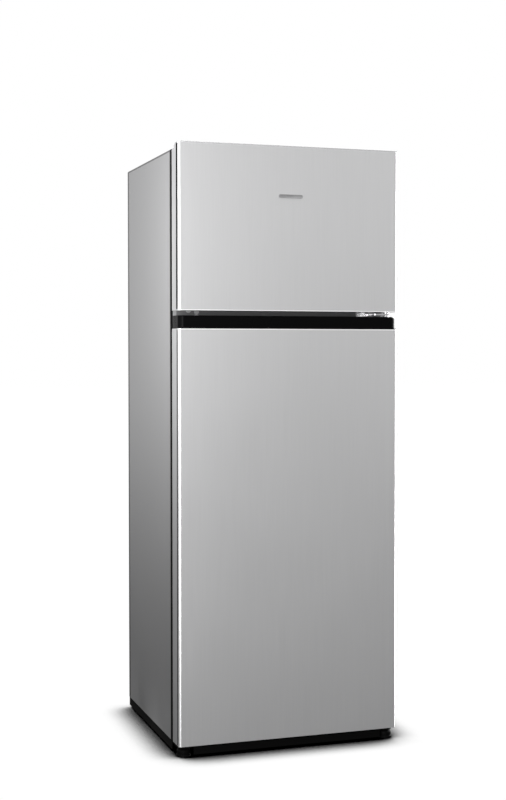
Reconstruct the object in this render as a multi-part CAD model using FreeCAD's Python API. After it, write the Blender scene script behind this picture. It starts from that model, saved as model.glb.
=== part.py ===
import FreeCAD, Part
import math
import os

# Free-standing refrigerator with a top freezer: two doors hung on the right,
# wire condenser and compressor at the back.
# Millimetres. X to the right, Y to the back, Z up. The origin is on the floor
# under the middle of the overall box. All doors are shut.

Vector = FreeCAD.Vector
X_AXIS = Vector(1, 0, 0)
Y_AXIS = Vector(0, 1, 0)
Z_AXIS = Vector(0, 0, 1)

# ---- Overall size ----
WIDTH = 550.0
DEPTH = 542.0
HEIGHT = 1434.0

# ---- Badge ----
BADGE_HALF = 30.0
BADGE_HEIGHT = 8.0
BADGE_DEPTH = 1.2
BADGE_DROP = 118.0

# ---- Doors ----
DOOR_THICKNESS = 55.7
DOOR_FLOOR_GAP = 28.4
FREEZER_DOOR_HEIGHT = 388.2
DOOR_GAP = 11.8
HANDLE_CAP_HEIGHT = 30.3
HANDLE_CAP_INSET = 2.0
HANDLE_CAP_CORNER = 13.0
SKIN = 0.8
SKIN_CORNER = 6.0
SKIN_RETURN = 12.0
GROOVE_OFFSET = 11.0
FREEZER_GROOVE_RADIUS = 2.2
FRIDGE_GROOVE_RADIUS = 1.4
CAP_COVER = 2.0
CAP_PLUG = 22.0
LIP_RISE = 12.0
LIP_DEPTH = 37.0
LIP_ROUND = 10.0
DYKE_WIDTH = 26.0
DYKE_REACH = 35.0
DYKE_GAP = 12.0
DYKE_CORNER = 20.0
LINER = 1.5

# ---- Gaskets ----
GASKET_GAP = 12.8
GASKET_INSET = 25.0
GASKET_END_INSET = 12.0
GASKET_FLOOR_INSET = 24.0
GASKET_WIDTH = 20.0
GASKET_AIR = 0.3

# ---- Cabinet ----
CABINET_TOP_DROP = 10.0
BASE_HEIGHT = 28.0
REAR_SPACE = 37.0
SHEET = 0.8
FRONT_FLANGE = 14.0
WRAPPER_ROUND = 4.0
PAN_SHEET = 1.0
PAN_RISE = 12.0
PAN_FLANGE_TOP = 32.0
FRIDGE_SIDE_WALL = 47.0
FRIDGE_REAR_WALL = 42.0
FREEZER_SIDE_WALL = 55.0
FREEZER_REAR_WALL = 58.0
FRIDGE_FLOOR_RISE = 56.0
FRIDGE_CEILING_DROP = 38.0
FREEZER_FLOOR_RISE = 36.0
FREEZER_CEILING_DROP = 44.0
CAVITY_ROUND = 10.0
MACHINE_DEPTH = 165.0
MACHINE_HEIGHT = 180.0
STEP_WALL = 38.0
RAIL_OVERLAP = 6.0
RAIL_RETURN = 15.0

# ---- Base ----
RUNNER_SHEET = 2.0
RUNNER_BOTTOM = 6.0
RUNNER_FOOT = 18.0
RAIL_DEPTH = 40.0
RAIL_BOTTOM = 24.0
KICK_PLATE_SETBACK = 9.0
KICK_PLATE_BOTTOM = 5.0
KICK_PLATE_TOP = 24.0
KICK_PLATE_SHEET = 2.5

# ---- Hinges ----
HINGE_INSET_X = 18.0
HINGE_INSET_Y = 28.0
HINGE_SHEET = 3.2
BRACKET_REACH = 42.0
PIN_RADIUS = 4.0
PIN_FIT = 0.06
PIN_REACH = 15.0
COLLAR_RADIUS = 7.0
COLLAR_AIR = 0.3
ARM_HALF_WIDTH = 7.0
SCREW_RADIUS = 2.4
SCREW_HEAD_RADIUS = 4.6
SCREW_HEAD = 2.6
SCREW_LENGTH = 12.0

# ---- Feet and rollers ----
FOOT_RADIUS = 17.0
FOOT_HEIGHT = 19.0
STUD_RADIUS = 4.0
THREAD_FIT = 0.08
STUD_END = 4.0
ROLLER_RADIUS = 14.0
ROLLER_WIDTH = 16.0
ROLLER_INSET_X = 36.0
ROLLER_INSET_Y = 26.0
ROLLER_SPACE = 52.0
AXLE_RADIUS = 3.0
AXLE_FIT = 0.08

# ---- Shelves, crisper and bins ----
SHELF_COUNT = 3
GLASS = 4.0
SHELF_FRONT_SETBACK = 107.0
SHELF_REAR_GAP = 6.0
LEDGE = 8.0
LEDGE_HEIGHT = 10.0
TRIM_HEIGHT = 12.0
TRIM_DEPTH = 12.0
CRISPER_TOP_RISE = 236.0
CRISPER_FRONT_SETBACK = 122.0
CRISPER_SIDE_GAP = 6.0
CRISPER_AIR = 2.0
CRISPER_FLOOR_AIR = 3.0
CRISPER_WALL = 2.2
CRISPER_REAR_GAP = 24.0
BIN_WALL = 2.2
BIN_REACH = 90.0
FREEZER_BIN_REACH = 66.0
BIN_ROUND = 14.0
BIN_FLOOR = 50.0

BOTTLE_BIN_HEIGHT = 96.0
BIN_HEIGHT = 68.0
FREEZER_BIN_HEIGHT = 62.0
FREEZER_BIN_AIR = 18.0
FRIDGE_BIN_COUNT = 4
TOP_BIN_DROP = 158.0
BIN_BACK_INSET = 20.0
EGG_X = -70.0
EGG_PITCH = 42.0
EGG_COLUMNS = 3
EGG_ROWS = 2
EGG_TRAY_HEIGHT = 20.0
EGG_CUP_RADIUS = 21.0
EGG_CUP_RISE = 24.0
ICE_X = -110.0
ICE_Y = 20.0
ICE_PITCH = 38.0
ICE_COLUMNS = 5
ICE_ROWS = 2
ICE_HEIGHT = 34.0
ICE_WALL = 2.0
ICE_FLOOR = 3.0

# ---- Finger grips ----
GRIP_HALF = 150.0
GRIP_DEPTH = 17.0
GRIP_FRONT = 12.0
GRIP_REAR = 44.0

# ---- Controls at the fridge's ceiling ----
HOUSING_HALF = 150.0
HOUSING_DEPTH = 190.0
HOUSING_DROP = 42.0
HOUSING_WALL = 2.2
HOUSING_SETBACK = 52.0
KNOB_X = 92.0
KNOB_RADIUS = 15.0
KNOB_DEPTH = 10.0
KNOB_SKIRT = 4.0
KNOB_BAR_HALF = 3.0
KNOB_START = 120.0
KNOB_AIR = 0.3
SHAFT_RADIUS = 3.0
SHAFT_FIT = 0.06
PLUNGER_X = -110.0
PLUNGER_RADIUS = 4.0
PLUNGER_FIT = 0.08
PLUNGER_AIR = 0.3
LENS_HALF = 42.0
LENS_DEPTH = 56.0
LENS_DROP = 9.0
LENS_WALL = 2.0
LENS_SETBACK = 50.0

# ---- Cold circuit ----
TUBE_RADIUS = 2.4
TUBE_BEND = 9.0
SUCTION_RADIUS = 3.2
PROCESS_RADIUS = 3.0
PROCESS_BEND = 8.0
CAPILLARY_RADIUS = 1.2
WIRE_RADIUS = 0.8
CONDENSER_PITCH = 50.0
CONDENSER_BEND = 20.0
CONDENSER_MARGIN = 42.0
CONDENSER_INSET = 50.0
RISER_INSET = 30.0
WIRE_PITCH = 14.0
WIRE_OVERHANG = 12.0
WIRE_INSET = 26.0
CONDENSER_OFFSET = 16.0
SPACER_INSET = 12.0
SPACER_HALF_WIDTH = 7.0
SPACER_HALF_HEIGHT = 14.0
COMPRESSOR_RADIUS = 62.0
COMPRESSOR_HEIGHT = 118.0
COMPRESSOR_X = -80.0
COMPRESSOR_DOME = 34.0
COMPRESSOR_LAP = 4.0
MOUNT_X = 74.0
MOUNT_Y = 48.0
MOUNT_EDGE = 12.0
BOLT_RADIUS = 3.0
GROMMET_HEIGHT = 16.0
GROMMET_NECK = 3.4
DRIER_X = -170.0
DRIER_SETBACK = 22.0
DRIER_Z = 120.0
DRIER_RADIUS = 9.0
DRIER_LENGTH = 60.0
DRIER_NECK = 8.0
SUCTION_X = 120.0
DRAIN_RADIUS = 8.0
DRAIN_WALL = 1.5
DRAIN_SETBACK = 24.0
TRAY_HEIGHT = 22.0
TRAY_WALL = 2.0

# ---- Mains lead gland ----
GLAND_X = 205.0
GLAND_TAB = 34.0
GLAND_SETBACK = 18.0
GLAND_NECK = 6.4
GLAND_FLANGE = 9.0
LEAD_RADIUS = 3.6

# ---- Derived places ----
SIDE = WIDTH / 2
FRONT = -DEPTH / 2 + BADGE_DEPTH
BACK = DEPTH / 2
DOOR_BACK = FRONT + DOOR_THICKNESS
CABINET_FRONT = DOOR_BACK + GASKET_GAP
CABINET_BACK = BACK - REAR_SPACE
CABINET_TOP = HEIGHT - CABINET_TOP_DROP
FREEZER_DOOR_BOTTOM = HEIGHT - FREEZER_DOOR_HEIGHT
HANDLE_CAP_TOP = FREEZER_DOOR_BOTTOM - DOOR_GAP
HANDLE_CAP_BASE = HANDLE_CAP_TOP - HANDLE_CAP_HEIGHT
LEDGE_TOP = HEIGHT - LIP_RISE
FRIDGE_FLOOR = BASE_HEIGHT + FRIDGE_FLOOR_RISE
FRIDGE_CEILING = HANDLE_CAP_TOP - FRIDGE_CEILING_DROP
FREEZER_FLOOR = FREEZER_DOOR_BOTTOM + FREEZER_FLOOR_RISE
FREEZER_CEILING = CABINET_TOP - FREEZER_CEILING_DROP
FRIDGE_HALF = SIDE - FRIDGE_SIDE_WALL
FREEZER_HALF = SIDE - FREEZER_SIDE_WALL
FRIDGE_REAR = CABINET_BACK - FRIDGE_REAR_WALL
FREEZER_REAR = CABINET_BACK - FREEZER_REAR_WALL
MACHINE_FRONT = CABINET_BACK - MACHINE_DEPTH
MACHINE_TOP = BASE_HEIGHT + MACHINE_HEIGHT
STEP_Y = MACHINE_FRONT - STEP_WALL
STEP_Z = MACHINE_TOP + STEP_WALL
PAN_Z = BASE_HEIGHT + PAN_RISE
PAN_FLANGE_Z = BASE_HEIGHT + PAN_FLANGE_TOP
RAIL_LOW = FRIDGE_CEILING + RAIL_OVERLAP
RAIL_HIGH = FREEZER_FLOOR - RAIL_OVERLAP
RAIL_HALF = SIDE - FRONT_FLANGE
HINGE_X = SIDE - HINGE_INSET_X
HINGE_Y = FRONT + HINGE_INSET_Y
HINGE_PLATE_Z = RAIL_BOTTOM - HINGE_SHEET
ARM_Z = (HANDLE_CAP_TOP + FREEZER_DOOR_BOTTOM - HINGE_SHEET) / 2
TOP_ARM_Z = CABINET_TOP
DYKE_Y = CABINET_FRONT + DYKE_REACH
FRIDGE_DYKE_HALF = FRIDGE_HALF - DYKE_GAP
FREEZER_DYKE_HALF = FREEZER_HALF - DYKE_GAP
SHELF_FRONT = CABINET_FRONT + SHELF_FRONT_SETBACK
SHELF_REAR = FRIDGE_REAR - SHELF_REAR_GAP
CRISPER_TOP = FRIDGE_FLOOR + CRISPER_TOP_RISE
COVER_Z = CRISPER_TOP + CRISPER_AIR + LEDGE_HEIGHT + GLASS
SHELF_PITCH = (FRIDGE_CEILING - COVER_Z) / (SHELF_COUNT + 1)
SHELF_HEIGHTS = [COVER_Z + SHELF_PITCH * (i + 1) for i in range(SHELF_COUNT)]
FREEZER_SHELF_Z = (FREEZER_FLOOR + FREEZER_CEILING) / 2
FRIDGE_BIN_PITCH = (FRIDGE_CEILING - FRIDGE_FLOOR) / FRIDGE_BIN_COUNT
TOP_BIN_Z = FRIDGE_CEILING - TOP_BIN_DROP
FRIDGE_BIN_HEIGHTS = [(FRIDGE_FLOOR + BIN_FLOOR, BOTTLE_BIN_HEIGHT)] + [
    (TOP_BIN_Z - FRIDGE_BIN_PITCH * i, BIN_HEIGHT) for i in range(FRIDGE_BIN_COUNT - 2, -1, -1)]
FREEZER_BIN_HEIGHTS = [(FREEZER_FLOOR + BIN_FLOOR, FREEZER_BIN_HEIGHT),
                       (FREEZER_SHELF_Z + FREEZER_BIN_AIR, FREEZER_BIN_HEIGHT)]
HOUSING_FRONT = CABINET_FRONT + HOUSING_SETBACK
HOUSING_Z = FRIDGE_CEILING - HOUSING_DROP
KNOB_Z = FRIDGE_CEILING - HOUSING_DROP / 2
PLUNGER_Z = FRIDGE_CEILING - DYKE_GAP - DYKE_WIDTH / 2
LENS_Y = HOUSING_FRONT + LENS_SETBACK
CONDENSER_Y = CABINET_BACK + CONDENSER_OFFSET
CONDENSER_HALF = SIDE - CONDENSER_INSET
RISER_X = SIDE - RISER_INSET
COIL_END_X = RISER_X - TUBE_BEND - 2
COMPRESSOR_Y = CABINET_BACK - MACHINE_DEPTH / 2
PLATE_Z = RAIL_BOTTOM
COMPRESSOR_FOOT_Z = PLATE_Z + RUNNER_SHEET + GROMMET_HEIGHT
COMPRESSOR_TOP = COMPRESSOR_FOOT_Z + COMPRESSOR_HEIGHT
DRIER_Y = CABINET_BACK - DRIER_SETBACK
DRAIN_Y = FRIDGE_REAR - DRAIN_SETBACK
ROLLER_X = SIDE - ROLLER_INSET_X
ROLLER_Y = CABINET_BACK - ROLLER_INSET_Y
GLAND_Y = CABINET_BACK - GLAND_SETBACK
GLAND_Z = MACHINE_TOP - GLAND_TAB / 2


# ---- Shape helpers ----
def box(x0, x1, y0, y1, z0, z1):
    """Block between two corners."""
    return Part.makeBox(x1 - x0, y1 - y0, z1 - z0, Vector(x0, y0, z0))


def rod(radius, x, y, z, length, direction=Z_AXIS):
    """Cylinder that starts at a point and runs along a direction."""
    return Part.makeCylinder(radius, length, Vector(x, y, z), direction)


def fuse(shapes):
    """One solid out of overlapping or touching ones."""
    result = shapes[0].fuse(shapes[1:]) if len(shapes) > 1 else shapes[0]
    return result.removeSplitter()


def cut(shape, tools):
    """The shape with every tool taken out of it."""
    return shape.cut(Part.makeCompound(tools)) if tools else shape


def along(edge, direction):
    """True when a straight edge runs along the direction."""
    if len(edge.Vertexes) != 2 or not isinstance(edge.Curve, Part.Line):
        return False
    run = edge.Vertexes[1].Point - edge.Vertexes[0].Point
    return run.cross(direction).Length < 1e-6 * max(run.Length, 1.0)


def round_edges(shape, radius, wanted):
    """Fillet each edge that the wanted test accepts."""
    edges = [edge for edge in shape.Edges if wanted(edge)]
    return shape.makeFillet(radius, edges)


def round_along(shape, radius, direction, where=None):
    """Fillet the straight edges along a direction whose middle passes a test."""
    def wanted(edge):
        if not along(edge, direction):
            return False
        return where is None or where(edge.CenterOfMass)
    return round_edges(shape, radius, wanted)


def side_profile(points, half_width):
    """Prism of a Y-Z outline, as wide as twice the half width, centred on X."""
    corners = [Vector(-half_width, y, z) for y, z in points]
    wire = Part.makePolygon(corners + corners[:1])
    return Part.Face(wire).extrude(Vector(2 * half_width, 0, 0))


def mirrored(shape):
    """The shape's twin on the other side of the middle plane."""
    return shape.mirror(Vector(0, 0, 0), X_AXIS)


def tube(points, radius, bend):
    """Round tube along straight runs joined by tangent arcs."""
    edges = []
    start = points[0]
    for i in range(1, len(points) - 1):
        into = (points[i] - points[i - 1]).normalize()
        out = (points[i + 1] - points[i]).normalize()
        half = into.getAngle(out) / 2
        trim = bend * math.tan(half)
        first = points[i] - into * trim
        last = points[i] + out * trim
        inward = (out - into).normalize()
        middle = points[i] + inward * (bend / math.cos(half) - bend)
        edges.append(Part.LineSegment(start, first).toShape())
        edges.append(Part.Arc(first, middle, last).toShape())
        start = last
    edges.append(Part.LineSegment(start, points[-1]).toShape())
    path = Part.Wire(edges)
    heading = points[1] - points[0]
    section = Part.Wire([Part.makeCircle(radius, points[0], heading)])
    return path.makePipeShell([section], True, False)


# ---- Cabinet ----
def outer_wrapper():
    """Bent steel sheet: both sides, the top and a narrow flange round the front."""
    def case(inset):
        block = box(-SIDE + inset, SIDE - inset, CABINET_FRONT, CABINET_BACK,
                    BASE_HEIGHT, CABINET_TOP - inset)
        return round_along(block, WRAPPER_ROUND - inset, Y_AXIS,
                           lambda p: p.z > CABINET_TOP - inset - 1)
    shell = case(0).cut(case(SHEET))
    rim = case(0.4 * SHEET).common(box(-SIDE, SIDE, CABINET_FRONT, CABINET_FRONT + SHEET,
                                       BASE_HEIGHT, CABINET_TOP))
    opening = box(-RAIL_HALF, RAIL_HALF, CABINET_FRONT, CABINET_FRONT + SHEET,
                  BASE_HEIGHT, CABINET_TOP - FRONT_FLANGE)
    return fuse([shell, rim.cut(opening)])


def back_panel():
    """Flat steel sheet that closes the back above the machine space."""
    return box(-SIDE + SHEET, SIDE - SHEET, CABINET_BACK - SHEET, CABINET_BACK,
               MACHINE_TOP + PAN_SHEET, CABINET_TOP - WRAPPER_ROUND)


def base_pan():
    """Stepped sheet under the foam, with a front flange and the lead gland's tab."""
    half = SIDE - SHEET
    points = [(CABINET_FRONT + PAN_SHEET, PAN_Z), (MACHINE_FRONT, PAN_Z),
              (MACHINE_FRONT, MACHINE_TOP), (CABINET_BACK, MACHINE_TOP),
              (CABINET_BACK, MACHINE_TOP + PAN_SHEET),
              (MACHINE_FRONT - PAN_SHEET, MACHINE_TOP + PAN_SHEET),
              (MACHINE_FRONT - PAN_SHEET, PAN_Z + PAN_SHEET),
              (CABINET_FRONT + PAN_SHEET, PAN_Z + PAN_SHEET)]
    pan = side_profile(points, half)
    flange = box(-RAIL_HALF, RAIL_HALF, CABINET_FRONT, CABINET_FRONT + PAN_SHEET,
                 BASE_HEIGHT, PAN_FLANGE_Z)
    tab = box(GLAND_X - GLAND_TAB / 2, GLAND_X + GLAND_TAB / 2, GLAND_Y - PAN_SHEET, GLAND_Y,
              MACHINE_TOP - GLAND_TAB, MACHINE_TOP)
    hole = rod(GLAND_NECK, GLAND_X, GLAND_Y - GLAND_TAB, GLAND_Z, 2 * GLAND_TAB, Y_AXIS)
    return fuse([pan, flange, tab]).cut(hole)


def cavity(half, rear, floor, ceiling, grow, step):
    """Inside of a compartment, grown by the liner's wall where grow is not zero."""
    half = half + grow
    low = floor - grow
    high = ceiling + grow
    end = rear + grow
    if step:
        points = [(CABINET_FRONT, low), (STEP_Y + grow, low), (STEP_Y + grow, STEP_Z - grow),
                  (end, STEP_Z - grow), (end, high), (CABINET_FRONT, high)]
    else:
        points = [(CABINET_FRONT, low), (end, low), (end, high), (CABINET_FRONT, high)]
    block = side_profile(points, half)

    def inner(edge):
        return edge.CenterOfMass.y > CABINET_FRONT + 1
    return round_edges(block, CAVITY_ROUND, inner)


def ledges(half, rear, heights, grow):
    """Blocks that press a shelf ledge into both side walls at each height."""
    blocks = []
    for z in heights:
        block = box(half - LEDGE + grow, half + 2 * LEDGE, SHELF_FRONT + grow,
                    rear - CAVITY_ROUND - grow, z - GLASS - LEDGE_HEIGHT + grow,
                    z - GLASS - grow)
        blocks += [block, mirrored(block)]
    return blocks


def fridge_space(grow):
    """Fridge compartment with its ledges left standing."""
    space = cavity(FRIDGE_HALF, FRIDGE_REAR, FRIDGE_FLOOR, FRIDGE_CEILING, grow, True)
    return cut(space, ledges(FRIDGE_HALF, FRIDGE_REAR, [COVER_Z] + SHELF_HEIGHTS, grow))


def freezer_space(grow):
    """Freezer compartment with its ledges left standing."""
    space = cavity(FREEZER_HALF, FREEZER_REAR, FREEZER_FLOOR, FREEZER_CEILING, grow, False)
    return cut(space, ledges(FREEZER_HALF, FREEZER_REAR, [FREEZER_SHELF_Z], grow))


def fridge_liner():
    """Vacuum-formed liner of the fridge compartment with its front flange."""
    flange = box(-RAIL_HALF, RAIL_HALF, CABINET_FRONT, CABINET_FRONT + LINER,
                 PAN_FLANGE_Z, RAIL_LOW)
    shell = fuse([fridge_space(LINER), flange]).cut(fridge_space(0))
    hole = rod(DRAIN_RADIUS - DRAIN_WALL, COMPRESSOR_X, DRAIN_Y, STEP_Z - STEP_WALL / 2, STEP_WALL)
    return shell.cut(hole)


def freezer_liner():
    """Vacuum-formed liner of the freezer compartment with its front flange."""
    flange = box(-RAIL_HALF, RAIL_HALF, CABINET_FRONT, CABINET_FRONT + LINER,
                 RAIL_HIGH, CABINET_TOP - FRONT_FLANGE)
    return fuse([freezer_space(LINER), flange]).cut(freezer_space(0))


def mid_rail():
    """Steel rail across the front between the two compartments."""
    face = box(-RAIL_HALF, RAIL_HALF, CABINET_FRONT, CABINET_FRONT + LINER, RAIL_LOW, RAIL_HIGH)
    low = box(-FREEZER_HALF, FREEZER_HALF, CABINET_FRONT, CABINET_FRONT + RAIL_RETURN,
              FRIDGE_CEILING + 2 * RAIL_OVERLAP, FRIDGE_CEILING + 2 * RAIL_OVERLAP + LINER)
    high = box(-FREEZER_HALF, FREEZER_HALF, CABINET_FRONT, CABINET_FRONT + RAIL_RETURN,
               FREEZER_FLOOR - 2 * RAIL_OVERLAP - LINER, FREEZER_FLOOR - 2 * RAIL_OVERLAP)
    return fuse([face, low, high])


def cabinet_foam(embedded):
    """Insulation between the wrapper and the liners, round what is buried in it."""
    points = [(CABINET_FRONT + LINER, PAN_Z + PAN_SHEET),
              (MACHINE_FRONT - PAN_SHEET, PAN_Z + PAN_SHEET),
              (MACHINE_FRONT - PAN_SHEET, MACHINE_TOP + PAN_SHEET),
              (CABINET_BACK - SHEET, MACHINE_TOP + PAN_SHEET),
              (CABINET_BACK - SHEET, CABINET_TOP - SHEET),
              (CABINET_FRONT + LINER, CABINET_TOP - SHEET)]
    block = side_profile(points, SIDE - SHEET)
    block = round_along(block, WRAPPER_ROUND - SHEET, Y_AXIS,
                        lambda p: p.z > CABINET_TOP - SHEET - 1)
    return cut(block, [fridge_space(LINER), freezer_space(LINER)] + embedded)


# ---- Base ----
def base_frame():
    """Front rail and two side runners under the cabinet."""
    edge = SIDE - SHEET
    inner = edge - RUNNER_SHEET
    y0 = CABINET_FRONT + PAN_SHEET
    rail = box(-inner, inner, y0, y0 + RAIL_DEPTH, RAIL_BOTTOM, PAN_Z)
    hollow = box(-inner, inner, y0 + RUNNER_SHEET, y0 + RAIL_DEPTH - RUNNER_SHEET,
                 RAIL_BOTTOM + RUNNER_SHEET, PAN_Z - RUNNER_SHEET)
    leg = box(inner, edge, y0, CABINET_BACK, RUNNER_BOTTOM, PAN_Z)
    foot = box(edge - RUNNER_FOOT, edge, y0 + RAIL_DEPTH, CABINET_BACK - ROLLER_SPACE,
               RUNNER_BOTTOM, RUNNER_BOTTOM + RUNNER_SHEET)
    parts = [rail.cut(hollow), leg, foot]
    return fuse(parts + [mirrored(leg), mirrored(foot)])


def kick_plate():
    """Moulded strip under the fridge door, clipped between the two feet."""
    wide = HINGE_X - FOOT_RADIUS - 3
    half = HINGE_X - BRACKET_REACH - 1
    y0 = FRONT + KICK_PLATE_SETBACK
    front = box(-wide, wide, y0, y0 + KICK_PLATE_SHEET, KICK_PLATE_BOTTOM, KICK_PLATE_TOP)
    web = box(-half, half, y0, CABINET_FRONT + PAN_SHEET,
              KICK_PLATE_TOP - KICK_PLATE_SHEET, KICK_PLATE_TOP)
    end = box(half - KICK_PLATE_SHEET, half, y0, CABINET_FRONT, KICK_PLATE_BOTTOM, KICK_PLATE_TOP)
    plate = fuse([front, web, end, mirrored(end)])
    return round_along(plate, 1.5, X_AXIS, lambda p: p.y < y0 + 0.1)


def compressor_plate():
    """Pressed plate that carries the compressor and the rear rollers' brackets."""
    half = SIDE - SHEET - RUNNER_SHEET
    floor = box(-half, half, MACHINE_FRONT + 4, CABINET_BACK - 4, PLATE_Z, PLATE_Z + RUNNER_SHEET)
    lips = [box(-half, half, y, y + RUNNER_SHEET, PLATE_Z, PLATE_Z + 12)
            for y in (MACHINE_FRONT + 4, CABINET_BACK - 4 - RUNNER_SHEET)]
    parts = [floor] + lips
    for side in (-1, 1):
        for offset in (-1, 1):
            x = side * ROLLER_X + offset * (ROLLER_WIDTH / 2 + 2)
            parts.append(box(x - 1, x + 1, ROLLER_Y - 9, ROLLER_Y + 9, ROLLER_RADIUS - 6, PLATE_Z))
        parts.append(rod(AXLE_RADIUS, side * ROLLER_X - ROLLER_WIDTH / 2 - 3, ROLLER_Y,
                         ROLLER_RADIUS, ROLLER_WIDTH + 6, X_AXIS))
    plate = fuse(parts)
    slots = [box(side * ROLLER_X - ROLLER_WIDTH / 2 - 0.6, side * ROLLER_X + ROLLER_WIDTH / 2 + 0.6,
                 ROLLER_Y - ROLLER_RADIUS, ROLLER_Y + ROLLER_RADIUS,
                 PLATE_Z - 1, PLATE_Z + ROLLER_RADIUS) for side in (-1, 1)]
    bolts = [rod(BOLT_RADIUS + 0.4, x, y, PLATE_Z - 5, 20) for x, y in mount_points()]
    return cut(plate, slots + bolts)


def roller(side):
    """Rear roller with a shallow groove round its tread."""
    wheel = rod(ROLLER_RADIUS, side * ROLLER_X - ROLLER_WIDTH / 2, ROLLER_Y, ROLLER_RADIUS,
                ROLLER_WIDTH, X_AXIS)
    wheel = wheel.makeChamfer(1.2, [e for e in wheel.Edges if isinstance(e.Curve, Part.Circle)])
    bore = rod(AXLE_RADIUS + AXLE_FIT, side * ROLLER_X - ROLLER_WIDTH, ROLLER_Y, ROLLER_RADIUS,
               2 * ROLLER_WIDTH, X_AXIS)
    return wheel.cut(bore)


def levelling_foot(side):
    """Moulded foot that turns on the bracket's stud."""
    foot = rod(FOOT_RADIUS, side * HINGE_X, HINGE_Y, 0, FOOT_HEIGHT)
    top = [e for e in foot.Edges if isinstance(e.Curve, Part.Circle) and e.CenterOfMass.z > 1]
    foot = foot.makeFillet(5.0, top)
    ribs = []
    for i in range(16):
        angle = math.radians(22.5 * i)
        ribs.append(rod(1.6, side * HINGE_X + (FOOT_RADIUS + 0.6) * math.cos(angle),
                        HINGE_Y + (FOOT_RADIUS + 0.6) * math.sin(angle), 4, FOOT_HEIGHT))
    bore = rod(STUD_RADIUS + THREAD_FIT, side * HINGE_X, HINGE_Y, STUD_END - 1, FOOT_HEIGHT)
    return cut(foot, ribs + [bore])


def bracket_plate(side):
    """Flat bracket under the front rail that reaches out below the door."""
    x0 = side * (HINGE_X - BRACKET_REACH)
    x1 = side * (SIDE - 3)
    plate = box(min(x0, x1), max(x0, x1), HINGE_Y - 12, CABINET_FRONT + RAIL_DEPTH - 4,
                HINGE_PLATE_Z, RAIL_BOTTOM)
    plate = round_along(plate, 8, Z_AXIS)
    stud = rod(STUD_RADIUS, side * HINGE_X, HINGE_Y, STUD_END, HINGE_PLATE_Z - STUD_END + 1)
    return [plate, stud]


def bottom_hinge():
    """Bracket with the stud for the foot below and the door's pin above."""
    collar_top = DOOR_FLOOR_GAP - COLLAR_AIR
    collar = rod(COLLAR_RADIUS, HINGE_X, HINGE_Y, RAIL_BOTTOM, collar_top - RAIL_BOTTOM)
    pin = rod(PIN_RADIUS, HINGE_X, HINGE_Y, RAIL_BOTTOM, DOOR_FLOOR_GAP + PIN_REACH - RAIL_BOTTOM)
    return fuse(bracket_plate(1) + [collar, pin])


def foot_bracket():
    """Bracket of the left foot, which has no pin."""
    return fuse(bracket_plate(-1))


# ---- Hinges ----
def middle_hinge():
    """Angle bracket on the mid rail, with one pin up and one pin down."""
    face_y = CABINET_FRONT - HINGE_SHEET
    plate = box(HINGE_X - 62, HINGE_X - 17, face_y, CABINET_FRONT, ARM_Z - 12, ARM_Z + 14)
    plate = round_along(plate, 4, Y_AXIS)
    arm = box(HINGE_X - 36, HINGE_X + 11, HINGE_Y - 9, CABINET_FRONT, ARM_Z, ARM_Z + HINGE_SHEET)
    arm = round_along(arm, 7, Z_AXIS, lambda p: p.y < HINGE_Y)
    arm = arm.cut(box(HINGE_X - 16, HINGE_X + 12, HINGE_Y + 16, CABINET_FRONT + 1, ARM_Z - 1,
                      ARM_Z + HINGE_SHEET + 1))
    high = FREEZER_DOOR_BOTTOM - COLLAR_AIR
    collar = rod(COLLAR_RADIUS, HINGE_X, HINGE_Y, ARM_Z, high - ARM_Z)
    low = HANDLE_CAP_TOP + COLLAR_AIR
    washer = rod(COLLAR_RADIUS, HINGE_X, HINGE_Y, low, ARM_Z - low)
    pin = rod(PIN_RADIUS, HINGE_X, HINGE_Y, HANDLE_CAP_TOP - PIN_REACH,
              FREEZER_DOOR_BOTTOM - HANDLE_CAP_TOP + 2 * PIN_REACH)
    return fuse([plate, arm, collar, washer, pin])


def top_hinge():
    """Plate on the cabinet's top with an arm over the door and a pin down."""
    plate = box(HINGE_X - 58, HINGE_X + 8, CABINET_FRONT + 4, CABINET_FRONT + 74,
                TOP_ARM_Z, TOP_ARM_Z + HINGE_SHEET)
    plate = round_along(plate, 6, Z_AXIS)
    arm = box(HINGE_X - ARM_HALF_WIDTH, HINGE_X + ARM_HALF_WIDTH, HINGE_Y, CABINET_FRONT + 30,
              TOP_ARM_Z, TOP_ARM_Z + HINGE_SHEET)
    eye = rod(ARM_HALF_WIDTH, HINGE_X, HINGE_Y, TOP_ARM_Z, HINGE_SHEET)
    pin = rod(PIN_RADIUS, HINGE_X, HINGE_Y, LEDGE_TOP - PIN_REACH, TOP_ARM_Z - LEDGE_TOP + PIN_REACH)
    return fuse([plate, arm, eye, pin])


def top_hinge_cover():
    """Moulded hood over the top hinge."""
    z0 = CABINET_TOP
    z1 = HEIGHT - 0.5

    def hood(inset):
        block = box(HINGE_X - 64 + inset, HINGE_X + 13 - inset, CABINET_FRONT + 1.5 + inset,
                    CABINET_FRONT + 84 - inset, z0, z1 - inset)
        return round_along(block, 8 - inset, Z_AXIS)
    tunnel = box(HINGE_X - ARM_HALF_WIDTH - 0.4, HINGE_X + ARM_HALF_WIDTH + 0.4, CABINET_FRONT,
                 CABINET_FRONT + 10, z0, TOP_ARM_Z + HINGE_SHEET + 0.3)
    return cut(hood(0), [hood(1.8), tunnel])


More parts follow.
